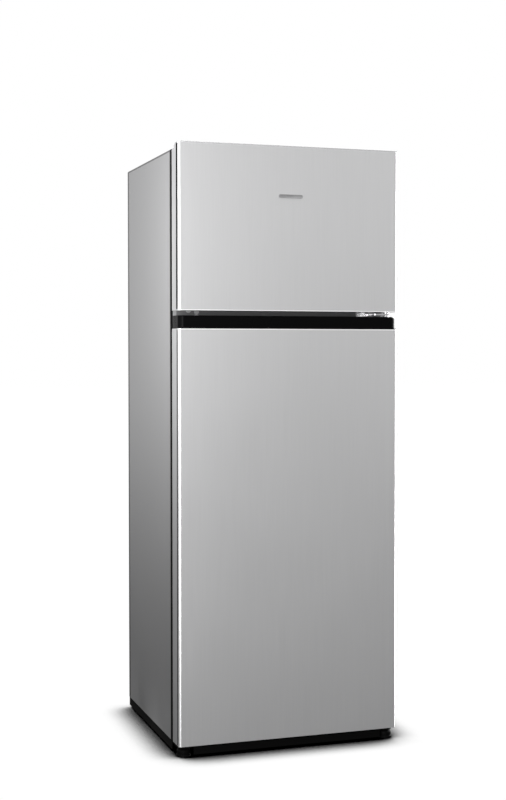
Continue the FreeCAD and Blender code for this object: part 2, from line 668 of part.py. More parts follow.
def screw_axes():
    """Seat and direction of every hinge and bracket screw, as (x, y, z, direction)."""
    down = Vector(0, 0, -1)
    top_z = TOP_ARM_Z + HINGE_SHEET
    axes = [(HINGE_X - 48, CABINET_FRONT + 16, top_z, down),
            (HINGE_X - 48, CABINET_FRONT + 62, top_z, down),
            (HINGE_X - 6, CABINET_FRONT + 50, top_z, down)]
    mid_y = CABINET_FRONT - HINGE_SHEET
    axes += [(HINGE_X - 45, mid_y, ARM_Z + 6, Y_AXIS), (HINGE_X - 25, mid_y, ARM_Z + 9, Y_AXIS),
             (HINGE_X - 45, mid_y, ARM_Z - 6, Y_AXIS)]
    for side in (-1, 1):
        axes.append((side * (HINGE_X - 34), CABINET_FRONT + 12, HINGE_PLATE_Z, Z_AXIS))
        axes.append((side * (HINGE_X - 34), CABINET_FRONT + 28, HINGE_PLATE_Z, Z_AXIS))
    return axes


def screws(clearance=0.0):
    """Cross-head screws of the hinges and brackets, or their clearance holes."""
    solids = []
    for x, y, z, direction in screw_axes():
        seat = Vector(x, y, z)
        head = Part.makeCylinder(SCREW_HEAD_RADIUS, SCREW_HEAD, seat - direction * SCREW_HEAD, direction)
        shank = Part.makeCylinder(SCREW_RADIUS + clearance, SCREW_LENGTH, seat, direction)
        if clearance > 0:
            solids.append(shank)
            continue
        rim = [e for e in head.Edges if isinstance(e.Curve, Part.Circle)
               and (e.CenterOfMass - seat).Length > 1]
        head = head.makeFillet(1.4, rim)
        start = seat - direction * (SCREW_HEAD + 0.1)
        slot_depth = 1.5
        across = X_AXIS
        other = direction.cross(across)
        for u, v in ((across, other), (other, across)):
            corner = start - u * 2.6 - v * 0.5
            wire = Part.makePolygon([corner, corner + u * 5.2, corner + u * 5.2 + v,
                                     corner + v, corner])
            head = head.cut(Part.Face(wire).extrude(direction * slot_depth))
        solids.append(fuse([head, shank]))
    return solids


def blanking_plugs():
    """Moulded plugs in the spare hinge holes on the left."""
    plugs = []
    for x, z in ((HINGE_X - 45, ARM_Z + 6), (HINGE_X - 25, ARM_Z + 9), (HINGE_X - 45, ARM_Z - 6)):
        head = rod(6.0, -x, CABINET_FRONT - 1.6, z, 1.6, Y_AXIS)
        stem = rod(3.0, -x, CABINET_FRONT, z, 8, Y_AXIS)
        plugs.append(fuse([head, stem]))
    for y in (CABINET_FRONT + 16, CABINET_FRONT + 62):
        head = rod(6.0, -HINGE_X + 48, y, CABINET_TOP, 1.6)
        stem = rod(3.0, -HINGE_X + 48, y, CABINET_TOP - 8, 8)
        plugs.append(fuse([head, stem]))
    return plugs


# ---- Compressor and cold circuit ----
def mount_points():
    """Places of the four bolts that hold the compressor."""
    return [(COMPRESSOR_X + i * MOUNT_X, COMPRESSOR_Y + j * MOUNT_Y)
            for i in (-1, 1) for j in (-1, 1)]


def compressor():
    """Welded shell in two halves with its base plate."""
    z0 = COMPRESSOR_FOOT_Z
    half_x = MOUNT_X + MOUNT_EDGE
    half_y = MOUNT_Y + MOUNT_EDGE
    plate = box(COMPRESSOR_X - half_x, COMPRESSOR_X + half_x,
                COMPRESSOR_Y - half_y, COMPRESSOR_Y + half_y, z0, z0 + 3)
    plate = round_along(plate, 10, Z_AXIS)
    body = rod(COMPRESSOR_RADIUS, COMPRESSOR_X, COMPRESSOR_Y, z0, COMPRESSOR_HEIGHT)
    dome = [e for e in body.Edges if isinstance(e.Curve, Part.Circle)
            and e.CenterOfMass.z > z0 + 1]
    body = body.makeFillet(COMPRESSOR_DOME, dome)
    seam = rod(COMPRESSOR_RADIUS + COMPRESSOR_LAP, COMPRESSOR_X, COMPRESSOR_Y,
               z0 + 0.55 * COMPRESSOR_HEIGHT, 5)
    hole = BOLT_RADIUS + GROMMET_NECK + 0.1
    holes = [rod(hole, x, y, z0 - 1, 6) for x, y in mount_points()]
    return cut(fuse([plate, body, seam]), holes)


def grommets():
    """Rubber mounts between the compressor and its plate."""
    solids = []
    for x, y in mount_points():
        z0 = PLATE_Z + RUNNER_SHEET
        foot = rod(10, x, y, z0, GROMMET_HEIGHT)
        neck = rod(BOLT_RADIUS + GROMMET_NECK, x, y, z0, GROMMET_HEIGHT + 5)
        cap = rod(8.5, x, y, z0 + GROMMET_HEIGHT + 3, 3)
        bore = rod(BOLT_RADIUS + 0.2, x, y, z0 - 1, 40)
        solids.append(fuse([foot, neck, cap]).cut(bore))
    return solids


def compressor_bolts():
    """Bolts through the rubber mounts, with washers under their heads."""
    solids = []
    for x, y in mount_points():
        top = PLATE_Z + RUNNER_SHEET + GROMMET_HEIGHT + 6
        shank = rod(BOLT_RADIUS, x, y, PLATE_Z - 4, top - PLATE_Z + 4)
        washer = rod(7, x, y, top, 1.5)
        ring = [Vector(x + 5.5 * math.cos(math.radians(60 * i)),
                       y + 5.5 * math.sin(math.radians(60 * i)), top + 1.5) for i in range(7)]
        head = Part.Face(Part.makePolygon(ring)).extrude(Vector(0, 0, 4))
        solids.append(fuse([shank, washer, head]))
    return solids


def terminal_cover():
    """Moulded box over the compressor's terminals and relay."""
    x0 = COMPRESSOR_X + COMPRESSOR_RADIUS - 6
    z0 = COMPRESSOR_FOOT_Z + 14
    block = box(x0, x0 + 42, COMPRESSOR_Y - 28, COMPRESSOR_Y + 28, z0, z0 + 48)
    block = round_along(block, 5, Z_AXIS, lambda p: p.x > x0 + 1)
    return block.cut(rod(COMPRESSOR_RADIUS + 0.3, COMPRESSOR_X, COMPRESSOR_Y, z0 - 1, 60))


def drip_tray():
    """Tray on the compressor's dome that boils away the defrost water."""
    z0 = COMPRESSOR_TOP + 1
    half = COMPRESSOR_RADIUS + 4

    def form(wall):
        block = box(COMPRESSOR_X - half + wall, COMPRESSOR_X + half - wall,
                    COMPRESSOR_Y - COMPRESSOR_RADIUS + 4 + wall, CABINET_BACK - 8 - wall,
                    z0 + wall, z0 + TRAY_HEIGHT + 4 * wall)
        return round_along(block, 12 - wall, Z_AXIS)
    return form(0).cut(form(TRAY_WALL))


def drain_tube(wall_only=True):
    """Tube from the fridge's back gutter down through the foam to the tray."""
    z0 = COMPRESSOR_TOP + 10
    outer = rod(DRAIN_RADIUS, COMPRESSOR_X, DRAIN_Y, z0, STEP_Z - LINER - z0)
    if not wall_only:
        return outer
    return outer.cut(rod(DRAIN_RADIUS - DRAIN_WALL, COMPRESSOR_X, DRAIN_Y, z0 - 1, STEP_WALL * 3))


def condenser_runs():
    """Heights of the condenser's level runs, from the lowest up."""
    low = MACHINE_TOP + CONDENSER_MARGIN
    count = int((CABINET_TOP - CONDENSER_MARGIN - low) / CONDENSER_PITCH) + 1
    count -= 1 - count % 2
    return [low + i * CONDENSER_PITCH for i in range(count)]


def condenser_coil():
    """Serpentine tube, fed at the top right and drained at the bottom left."""
    corners = []
    for i, z in enumerate(condenser_runs()):
        side = 1 if i % 2 == 0 else -1
        corners += [(-side * CONDENSER_HALF, z), (side * CONDENSER_HALF, z)]
    corners[0] = (-COIL_END_X, corners[0][1])
    corners[-1] = (COIL_END_X, corners[-1][1])
    return tube([Vector(x, CONDENSER_Y, z) for x, z in corners], TUBE_RADIUS, CONDENSER_BEND)


def condenser_wires():
    """Upright wires welded to both faces of the coil."""
    runs = condenser_runs()
    z0 = runs[0] - WIRE_OVERHANG
    length = runs[-1] - runs[0] + 2 * WIRE_OVERHANG
    half = CONDENSER_HALF - WIRE_INSET
    count = int(2 * half / WIRE_PITCH) + 1
    start = -WIRE_PITCH * (count - 1) / 2
    offset = TUBE_RADIUS + WIRE_RADIUS
    return [rod(WIRE_RADIUS, start + i * WIRE_PITCH, CONDENSER_Y + side * offset, z0, length)
            for i in range(count) for side in (-1, 1)]


def condenser_spacers(coil):
    """Moulded stand-offs that grip the coil and keep it off the room's wall."""
    runs = condenser_runs()
    solids = []
    for x in (-CONDENSER_HALF + SPACER_INSET, CONDENSER_HALF - SPACER_INSET):
        for z in (runs[1], runs[-2]):
            block = box(x - SPACER_HALF_WIDTH, x + SPACER_HALF_WIDTH, CABINET_BACK, BACK,
                        z - SPACER_HALF_HEIGHT, z + SPACER_HALF_HEIGHT)
            block = round_along(block, 4, X_AXIS, lambda p: p.y > BACK - 1)
            solids.append(block.cut(coil))
    return solids


def refrigerant_tubes():
    """Discharge, suction, process, liquid and capillary tubes of the machine space."""
    runs = condenser_runs()
    z = COMPRESSOR_FOOT_Z + 30
    out_x = COMPRESSOR_X + 20
    back = CABINET_BACK - 14
    in_x = COMPRESSOR_X + 30
    lane = MACHINE_FRONT + 14
    rise_y = CABINET_BACK - 30
    stub_x = COMPRESSOR_X + COMPRESSOR_RADIUS - 14
    stub_y = COMPRESSOR_Y + 40
    low = DRIER_Z - DRIER_NECK - 12
    foam_z = MACHINE_TOP + 60
    discharge = tube([Vector(out_x, COMPRESSOR_Y + COMPRESSOR_RADIUS - 8, z),
                      Vector(out_x, back, z), Vector(RISER_X, back, z),
                      Vector(RISER_X, CONDENSER_Y, z),
                      Vector(RISER_X, CONDENSER_Y, runs[-1]),
                      Vector(COIL_END_X, CONDENSER_Y, runs[-1])], TUBE_RADIUS, TUBE_BEND)
    suction = tube([Vector(in_x, COMPRESSOR_Y - COMPRESSOR_RADIUS + 10, z),
                    Vector(in_x, lane, z), Vector(SUCTION_X, lane, z),
                    Vector(SUCTION_X, rise_y, z),
                    Vector(SUCTION_X, rise_y, foam_z)], SUCTION_RADIUS, TUBE_BEND)
    process = tube([Vector(stub_x, stub_y, z - 8), Vector(stub_x + 48, stub_y, z - 8),
                    Vector(stub_x + 48, stub_y, z + 16)], PROCESS_RADIUS, PROCESS_BEND)
    liquid = tube([Vector(-COIL_END_X, CONDENSER_Y, runs[0]),
                   Vector(-RISER_X, CONDENSER_Y, runs[0]), Vector(-RISER_X, CONDENSER_Y, low),
                   Vector(-RISER_X, DRIER_Y, low), Vector(DRIER_X, DRIER_Y, low),
                   Vector(DRIER_X, DRIER_Y, DRIER_Z - DRIER_NECK)], TUBE_RADIUS, TUBE_BEND)
    top = DRIER_Z + DRIER_LENGTH + DRIER_NECK
    capillary = rod(CAPILLARY_RADIUS, DRIER_X, DRIER_Y, top, foam_z - top)
    shell = compressor()
    return [discharge.cut(shell), suction.cut(shell), process.cut(shell), liquid, capillary]


def filter_drier():
    """Copper filter with necked ends."""
    wide = DRIER_RADIUS
    body = rod(wide, DRIER_X, DRIER_Y, DRIER_Z, DRIER_LENGTH)
    low = Part.makeCone(TUBE_RADIUS + 0.6, wide, DRIER_NECK,
                        Vector(DRIER_X, DRIER_Y, DRIER_Z - DRIER_NECK), Z_AXIS)
    high = Part.makeCone(wide, CAPILLARY_RADIUS + 1, DRIER_NECK,
                         Vector(DRIER_X, DRIER_Y, DRIER_Z + DRIER_LENGTH), Z_AXIS)
    return fuse([low, body, high])


def evaporator_plates():
    """Cooling plates in the foam, round the freezer and behind the fridge."""
    half = FREEZER_HALF + LINER
    low = FREEZER_FLOOR - LINER
    high = FREEZER_CEILING + LINER
    y0 = CABINET_FRONT + 90
    y1 = FREEZER_REAR - 20
    sheet = 1.2
    sleeve = box(-half - sheet, half + sheet, y0, y1, low - sheet, high + sheet)
    sleeve = sleeve.cut(box(-half, half, y0, y1, low, high))
    back = FRIDGE_REAR + LINER
    plate = box(-150, 150, back, back + sheet, FRIDGE_CEILING - 420, FRIDGE_CEILING - 80)
    return [sleeve, plate]


def cord_gland():
    """Flanged bush in the tab, where the mains lead enters."""
    neck = rod(GLAND_NECK, GLAND_X, GLAND_Y - 6, GLAND_Z, 12, Y_AXIS)
    flange = rod(GLAND_FLANGE, GLAND_X, GLAND_Y, GLAND_Z, 2.5, Y_AXIS)
    bore = rod(LEAD_RADIUS, GLAND_X, GLAND_Y - 10, GLAND_Z, 20, Y_AXIS)
    return fuse([neck, flange]).cut(bore)


# ---- Controls at the fridge's ceiling ----
def control_housing():
    """Moulded housing for the lamp, the thermostat and the door switch."""
    def shell(inset):
        block = box(-HOUSING_HALF + inset, HOUSING_HALF - inset, HOUSING_FRONT + inset,
                    HOUSING_FRONT + HOUSING_DEPTH - inset, HOUSING_Z + inset, FRIDGE_CEILING)
        return round_along(block, 8 - inset, X_AXIS, lambda p: p.z < HOUSING_Z + inset + 1)
    window = box(-LENS_HALF + 3, LENS_HALF - 3, LENS_Y + 3, LENS_Y + LENS_DEPTH - 3,
                 HOUSING_Z - 1, HOUSING_Z + 5)
    shaft = rod(SHAFT_RADIUS + 1, KNOB_X, HOUSING_FRONT - 1, KNOB_Z, 8, Y_AXIS)
    guide = rod(PLUNGER_RADIUS + 3, PLUNGER_X, HOUSING_FRONT + 1, PLUNGER_Z, 14, Y_AXIS)
    bore = rod(PLUNGER_RADIUS + PLUNGER_FIT, PLUNGER_X, HOUSING_FRONT - 1, PLUNGER_Z, 30, Y_AXIS)
    body = cut(shell(0), [shell(HOUSING_WALL), window, shaft])
    return fuse([body, guide]).cut(bore)


def lamp_lens():
    """Clear ribbed lens under the housing."""
    x = LENS_HALF
    outer = box(-x, x, LENS_Y, LENS_Y + LENS_DEPTH, HOUSING_Z - LENS_DROP, HOUSING_Z)
    outer = round_along(outer, 8, Z_AXIS)
    wall = LENS_WALL
    inner = box(-x + wall, x - wall, LENS_Y + wall, LENS_Y + LENS_DEPTH - wall,
                HOUSING_Z - LENS_DROP + wall, HOUSING_Z + 1)
    return outer.cut(round_along(inner, 8 - wall, Z_AXIS))


def lamp_bulb():
    """Small lamp with its holder, inside the housing above the lens."""
    y = LENS_Y + LENS_DEPTH / 2
    z = HOUSING_Z + 18
    globe = Part.makeSphere(11, Vector(-8, y, z), X_AXIS)
    base = rod(7, -4, y, z, 24, X_AXIS)
    holder = box(14, 30, y - 10, y + 10, z - 10, FRIDGE_CEILING)
    return fuse([globe, base, holder])


def thermostat():
    """Thermostat body behind the housing's front wall, with its shaft."""
    y0 = HOUSING_FRONT + HOUSING_WALL
    body = box(KNOB_X - 20, KNOB_X + 20, y0, y0 + 34, KNOB_Z - 12, KNOB_Z + 12)
    shaft = rod(SHAFT_RADIUS, KNOB_X, HOUSING_FRONT - KNOB_DEPTH + 3, KNOB_Z, 20, Y_AXIS)
    return fuse([body, shaft])


def thermostat_knob():
    """Turning knob with a grip bar across its face, which points at the first number."""
    y0 = HOUSING_FRONT - KNOB_AIR - KNOB_DEPTH
    y_skirt = y0 + KNOB_DEPTH - KNOB_SKIRT
    disc = rod(KNOB_RADIUS, KNOB_X, y_skirt, KNOB_Z, KNOB_SKIRT, Y_AXIS)
    reach = KNOB_RADIUS - 1.5
    bar = box(KNOB_X - KNOB_BAR_HALF, KNOB_X + KNOB_BAR_HALF, y0, y_skirt + 1,
              KNOB_Z - reach, KNOB_Z + reach)
    bar = round_along(bar, 1.2, Z_AXIS, lambda p: p.y < y0 + 1)
    bar.rotate(Vector(KNOB_X, y0, KNOB_Z), Y_AXIS, -KNOB_START)
    bore = rod(SHAFT_RADIUS + SHAFT_FIT, KNOB_X, HOUSING_FRONT - KNOB_DEPTH + 2.6, KNOB_Z,
               KNOB_DEPTH, Y_AXIS)
    return fuse([disc, bar]).cut(bore)


def light_switch_plunger():
    """Switch plunger, held in by the shut door."""
    tip = DYKE_Y + PLUNGER_AIR
    pin = rod(PLUNGER_RADIUS, PLUNGER_X, tip, PLUNGER_Z, HOUSING_FRONT + 24 - tip, Y_AXIS)
    rim = [e for e in pin.Edges if isinstance(e.Curve, Part.Circle) and e.CenterOfMass.y < tip + 1]
    return pin.makeFillet(2.5, rim)


# ---- Shelves, crisper and trays ----
def shelf_glass():
    """Glass of the fridge shelves, the crisper's cover and the freezer shelf."""
    half = FRIDGE_HALF - 1.5
    panes = [box(-half, half, SHELF_FRONT + TRIM_DEPTH / 2, SHELF_REAR, z - GLASS, z)
             for z in [COVER_Z] + SHELF_HEIGHTS]
    cold = FREEZER_HALF - 1.5
    panes.append(box(-cold, cold, SHELF_FRONT + TRIM_DEPTH / 2, FREEZER_REAR - SHELF_REAR_GAP,
                     FREEZER_SHELF_Z - GLASS, FREEZER_SHELF_Z))
    return panes


def shelf_trims(panes):
    """Moulded strips along the front and the back of every pane."""
    strips = []
    levels = [(FRIDGE_HALF - 1.5, z, SHELF_REAR) for z in [COVER_Z] + SHELF_HEIGHTS]
    levels.append((FREEZER_HALF - 1.5, FREEZER_SHELF_Z, FREEZER_REAR - SHELF_REAR_GAP))
    for half, z, rear in levels:
        inner = half - LEDGE - 1
        front = box(-half, half, SHELF_FRONT - 1, SHELF_FRONT + TRIM_DEPTH,
                    z - GLASS - 2, z + 2)
        front = round_along(front, 2.5, X_AXIS, lambda p: p.y < SHELF_FRONT)
        front = front.cut(box(inner, half + 1, SHELF_FRONT, SHELF_FRONT + 2 * TRIM_DEPTH,
                              z - GLASS - 3, z - GLASS))
        front = front.cut(box(-half - 1, -inner, SHELF_FRONT, SHELF_FRONT + 2 * TRIM_DEPTH,
                              z - GLASS - 3, z - GLASS))
        stop = box(-inner, inner, rear - 8, rear + 2, z - GLASS - 2, z + 14)
        stop = stop.cut(box(-inner, inner, rear - 9, rear, z, z + 15))
        strips += [cut(front, panes), cut(stop, panes)]
    return strips


def crisper_drawer():
    """Clear drawer, shallower below because of the step over the machine space."""
    y0 = CABINET_FRONT + CRISPER_FRONT_SETBACK
    y_step = STEP_Y - CRISPER_AIR - 2
    y1 = FRIDGE_REAR - CRISPER_REAR_GAP
    z0 = FRIDGE_FLOOR + CRISPER_FLOOR_AIR
    z_step = STEP_Z + CRISPER_AIR
    half = FRIDGE_HALF - CRISPER_SIDE_GAP

    def prism(wall, top):
        points = [(y0 + wall, z0 + wall), (y_step - wall, z0 + wall),
                  (y_step - wall, z_step + wall), (y1 - wall, z_step + wall),
                  (y1 - wall, top), (y0 + wall, top)]
        block = side_profile(points, half - wall)
        return round_along(block, 12 - wall, Z_AXIS)
    body = prism(0, CRISPER_TOP).cut(prism(CRISPER_WALL, CRISPER_TOP + 10))
    grip = box(-90, 90, y0 - 12, y0 + 1, CRISPER_TOP - 20, CRISPER_TOP)
    grip = round_along(grip, 5, X_AXIS, lambda p: p.y < y0 - 10)
    grip = grip.cut(box(-87, 87, y0 - 9, y0, CRISPER_TOP - 21, CRISPER_TOP - 3))
    return fuse([body, grip])


def ice_cube_tray():
    """Moulded ice tray on the freezer's floor."""
    half_x = ICE_PITCH * ICE_COLUMNS / 2 + 4
    half_y = ICE_PITCH * ICE_ROWS / 2 + 4
    z0 = FREEZER_FLOOR
    block = box(ICE_X - half_x, ICE_X + half_x, ICE_Y - half_y, ICE_Y + half_y, z0, z0 + ICE_HEIGHT)
    block = round_along(block, 10, Z_AXIS)
    cells = []
    for i in range(ICE_COLUMNS):
        for j in range(ICE_ROWS):
            x = ICE_X + ICE_PITCH * (i - (ICE_COLUMNS - 1) / 2)
            y = ICE_Y + ICE_PITCH * (j - (ICE_ROWS - 1) / 2)
            half = ICE_PITCH / 2 - ICE_WALL
            cell = box(x - half, x + half, y - half, y + half,
                       z0 + ICE_FLOOR, z0 + ICE_HEIGHT + 1)
            cells.append(round_along(cell, 6, Z_AXIS))
    return cut(block, cells)


# ---- Doors ----
def door_block(z0, z1, inset, groove):
    """Door's outer form between two heights, or the space inside its skin."""
    block = box(-SIDE + inset, SIDE - inset, FRONT + inset, DOOR_BACK, z0, z1)
    block = round_along(block, SKIN_CORNER - inset, Z_AXIS, lambda p: p.y < DOOR_BACK - 1)
    lines = [rod(groove + inset, side * SIDE, FRONT + GROOVE_OFFSET, z0, z1 - z0)
             for side in (-1, 1)]
    return cut(block, lines)


def lip_form(drop):
    """Space above the freezer door: over the lip in front and the ledge behind."""
    rise = 50.0
    high = HEIGHT - drop
    low = LEDGE_TOP - drop
    y_lip = FRONT + LIP_DEPTH - drop
    points = [(y_lip, low), (DOOR_BACK + 5, low), (DOOR_BACK + 5, high + rise),
              (FRONT - 5, high + rise), (FRONT - 5, high), (y_lip, high)]
    form = side_profile(points, SIDE + 5)
    return round_along(form, LIP_ROUND, X_AXIS,
                       lambda p: abs(p.y - y_lip) < 0.1 and abs(p.z - high) < 0.1)


def hinge_pocket():
    """Room round the top hinge's arm in the freezer door's lip."""
    y0 = FRONT + SKIN_CORNER + 2
    pocket = box(HINGE_X - 22, SIDE + 5, y0, DOOR_BACK + 5, LEDGE_TOP, HEIGHT + 5)
    return round_along(pocket, 6, Z_AXIS, lambda p: p.x < SIDE and p.y < DOOR_BACK)


def skin_returns(z0, z1):
    """Narrow flanges of the skin round the door's back."""
    edge = SIDE - SKIN
    strip = box(edge - SKIN_RETURN, edge + SKIN / 2, DOOR_BACK - SKIN, DOOR_BACK, z0, z1)
    return [strip, mirrored(strip)]


def freezer_door_skin():
    """Bent steel face of the freezer door with a raised front lip."""
    shell = door_block(FREEZER_DOOR_BOTTOM, HEIGHT, 0, FREEZER_GROOVE_RADIUS).cut(
        door_block(FREEZER_DOOR_BOTTOM + SKIN, HEIGHT, SKIN, FREEZER_GROOVE_RADIUS))
    strips = skin_returns(FREEZER_DOOR_BOTTOM, HEIGHT)
    window = box(-SIDE + SKIN + SKIN_RETURN, SIDE - SKIN - SKIN_RETURN, FRONT + SKIN_RETURN,
                 DOOR_BACK + 1, FREEZER_DOOR_BOTTOM - 1, FREEZER_DOOR_BOTTOM + SKIN + 1)
    shell = fuse([shell] + strips)
    return cut(shell, [lip_form(CAP_COVER), hinge_pocket(), window])


def freezer_top_cap():
    """Moulded top end with the lip, the hinge pocket and the pin's bore."""
    cover = door_block(LEDGE_TOP - CAP_COVER - 1, HEIGHT, 0, FREEZER_GROOVE_RADIUS)
    cover = cover.common(lip_form(CAP_COVER)).cut(lip_form(0))
    plug = door_block(LEDGE_TOP - CAP_PLUG, HEIGHT, SKIN, FREEZER_GROOVE_RADIUS)
    plug = plug.cut(lip_form(CAP_COVER - 0.01))
    returns = skin_returns(LEDGE_TOP - CAP_PLUG, HEIGHT)
    edge = SIDE - SKIN
    hollow = box(-edge + 14, HINGE_X - 30, FRONT + 5, DOOR_BACK - 5, LEDGE_TOP - CAP_PLUG - 1,
                 LEDGE_TOP - 6)
    bore = pin_bore(LEDGE_TOP - PIN_REACH - 1)
    return cut(fuse([cover, cut(plug, returns)]), [hollow, bore, hinge_pocket()])


def freezer_bottom_cap():
    """Moulded bottom end with a finger recess and the pin's bore."""
    z0 = FREEZER_DOOR_BOTTOM + SKIN
    plug = door_block(z0, z0 + CAP_PLUG, SKIN, FREEZER_GROOVE_RADIUS)
    returns = skin_returns(FREEZER_DOOR_BOTTOM, HEIGHT)
    rim = box(-SIDE + SKIN + SKIN_RETURN, SIDE - SKIN - SKIN_RETURN, FRONT + SKIN_RETURN,
              DOOR_BACK, FREEZER_DOOR_BOTTOM, z0)
    recess = grip_recess(FREEZER_DOOR_BOTTOM - 1, FREEZER_DOOR_BOTTOM + GRIP_DEPTH)
    bore = pin_bore(FREEZER_DOOR_BOTTOM - 1)
    hollows = cap_hollows(z0 + 5, z0 + CAP_PLUG + 1)
    return cut(fuse([cut(plug, returns), rim]), [recess, bore] + hollows)


def pin_bore(z0):
    """Running bore for a hinge pin, one pin's reach deep."""
    return rod(PIN_RADIUS + PIN_FIT, HINGE_X, HINGE_Y, z0, PIN_REACH + 2)


def grip_recess(z0, z1):
    """Finger recess along the middle of a door's end."""
    block = box(-GRIP_HALF, GRIP_HALF, FRONT + GRIP_FRONT, FRONT + GRIP_REAR, z0, z1)
    return round_along(block, 12, Z_AXIS)


def cap_hollows(z0, z1):
    """Lightening pockets left and right of the finger recess."""
    return [box(-SIDE + 22, -GRIP_HALF - 5, FRONT + 6, DOOR_BACK - 6, z0, z1),
            box(GRIP_HALF + 5, HINGE_X - 16, FRONT + 6, DOOR_BACK - 6, z0, z1)]


def fridge_door_skin():
    """Bent steel face of the fridge door."""
    z0 = DOOR_FLOOR_GAP
    z1 = HANDLE_CAP_BASE
    shell = door_block(z0, z1, 0, FRIDGE_GROOVE_RADIUS).cut(
        door_block(z0 + SKIN, z1 - SKIN, SKIN, FRIDGE_GROOVE_RADIUS))
    strips = skin_returns(z0, z1)
    window = box(-SIDE + SKIN + SKIN_RETURN, SIDE - SKIN - SKIN_RETURN, FRONT + SKIN_RETURN,
                 DOOR_BACK + 1, z0 - 1, z1 + 1)
    return cut(fuse([shell] + strips), [window])


def fridge_handle_cap():
    """Black moulded top end of the fridge door, which is also its handle."""
    z0 = HANDLE_CAP_BASE
    z1 = HANDLE_CAP_TOP
    rear = DOOR_BACK - LINER - 0.1
    inset = HANDLE_CAP_INSET
    flange = door_block(z0, z0 + 2, 0, FRIDGE_GROOVE_RADIUS).common(
        box(-SIDE, SIDE, FRONT, rear, z0, z0 + 2))
    body = box(-SIDE + inset, SIDE - inset, FRONT + inset, rear, z0, z1)
    body = round_along(body, HANDLE_CAP_CORNER, Z_AXIS, lambda p: p.y < 0 and p.y < rear - 1)
    chamfer = Part.Face(Part.makePolygon([
        Vector(SIDE - inset - 13, FRONT - 1, z1 + 0.1), Vector(SIDE + 1, FRONT - 1, z1 + 0.1),
        Vector(SIDE + 1, FRONT - 1, z1 - 6.5),
        Vector(SIDE - inset - 13, FRONT - 1, z1 + 0.1)])).extrude(Vector(0, DOOR_THICKNESS + 2, 0))
    edge = SIDE - SKIN - SKIN_RETURN
    plug = box(-edge, edge, FRONT + SKIN_RETURN, rear, z0 - 12, z0)
    recess = grip_recess(z1 - GRIP_DEPTH, z1 + 1)
    bore = pin_bore(z1 - PIN_REACH - 1)
    hollows = cap_hollows(z0 - 13, z1 - 4)
    under = box(-GRIP_HALF, GRIP_HALF, FRONT + 18, rear - 5, z0 - 13, z1 - GRIP_DEPTH - 3)
    return cut(fuse([flange, body, plug]), [chamfer, recess, bore, under] + hollows)


def fridge_bottom_cap():
    """Moulded bottom end of the fridge door with the pin's bore."""
    z0 = DOOR_FLOOR_GAP + SKIN
    plug = door_block(z0, z0 + CAP_PLUG, SKIN, FRIDGE_GROOVE_RADIUS)
    returns = skin_returns(DOOR_FLOOR_GAP, HANDLE_CAP_BASE)
    rim = box(-SIDE + SKIN + SKIN_RETURN, SIDE - SKIN - SKIN_RETURN, FRONT + SKIN_RETURN,
              DOOR_BACK, DOOR_FLOOR_GAP, z0)
    bore = pin_bore(DOOR_FLOOR_GAP - 1)
    hollow = box(-SIDE + 22, HINGE_X - 16, FRONT + 6, DOOR_BACK - 6, z0 + 3, z0 + CAP_PLUG + 1)
    return cut(fuse([cut(plug, returns), rim]), [bore, hollow])


def dyke_ring(half, z0, z1, grow):
    """Raised ring on a door's inner face that reaches into the compartment."""
    y0 = DOOR_BACK - LINER
    y1 = DYKE_Y - LINER + grow
    outer = box(-half - grow + LINER, half + grow - LINER, y0, y1, z0 - grow + LINER, z1 + grow - LINER)
    outer = round_along(outer, DYKE_CORNER, Y_AXIS)
    width = DYKE_WIDTH
    inner = box(-half + width + grow - LINER, half - width - grow + LINER, y0, y1,
                z0 + width + grow - LINER, z1 - width - grow + LINER)
    inner = round_along(inner, DYKE_CORNER / 2, Y_AXIS)
    ring = outer.cut(inner)
    return round_edges(ring, 5.0, lambda e: abs(e.CenterOfMass.y - y1) < 0.01)


def door_liner(half, z0, z1, plate_low, plate_high):
    """Vacuum-formed inner face of a door with its dyke."""
    edge = SIDE - SKIN - SKIN_RETURN
    plate = box(-edge, edge, DOOR_BACK - LINER, DOOR_BACK, plate_low, plate_high)
    return fuse([plate, dyke_ring(half, z0, z1, LINER)]).cut(dyke_ring(half, z0, z1, 0))


def door_foam(z0, z1, inset, groove, half, dyke_low, dyke_high, tools):
    """Insulation inside a door and its dyke."""
    block = door_block(z0, z1, inset, groove)
    block = block.cut(box(-SIDE, SIDE, DOOR_BACK - LINER, DOOR_BACK + 1, z0 - 1, z1 + 1))
    ring = dyke_ring(half, dyke_low, dyke_high, 0)
    return cut(fuse([block, ring]), tools)


def gasket(z0, z1):
    """Magnetic door seal: a dart strip, a bellows and a wide sealing face."""
    half = SIDE - GASKET_INSET
    end = CABINET_FRONT - GASKET_AIR
    layers = []
    for y_start, y_end, out, width in ((DOOR_BACK, DOOR_BACK + 4, 3, 13),
                                       (DOOR_BACK + 4, DOOR_BACK + 8, 5, 9),
                                       (DOOR_BACK + 8, end, 0, GASKET_WIDTH)):
        outer = box(-half + out, half - out, y_start, y_end, z0 + out, z1 - out)
        inner = box(-half + out + width, half - out - width, y_start, y_end,
                    z0 + out + width, z1 - out - width)
        layers.append(outer.cut(inner))
    ring = fuse(layers)
    return round_along(ring, 4, Y_AXIS, lambda p: abs(p.x) > half - 1)


def door_bin(half, reach, z0, height):
    """Clear bin that hangs between the dyke's sides."""
    y0 = DOOR_BACK
    y1 = CABINET_FRONT + reach

    def tray(wall, top):
        block = box(-half + wall, half - wall, y0 + wall, y1 - wall, z0 + wall, top)
        return round_along(block, BIN_ROUND - wall, Z_AXIS, lambda p: p.y > y1 - wall - 1)
    body = tray(0, z0 + height).cut(tray(BIN_WALL, z0 + height + 10))
    back_window = box(-half + BIN_BACK_INSET, half - BIN_BACK_INSET, y0 - 1, y0 + BIN_WALL + 1,
                      z0 + height / 2, z0 + height + 1)
    return body.cut(back_window)


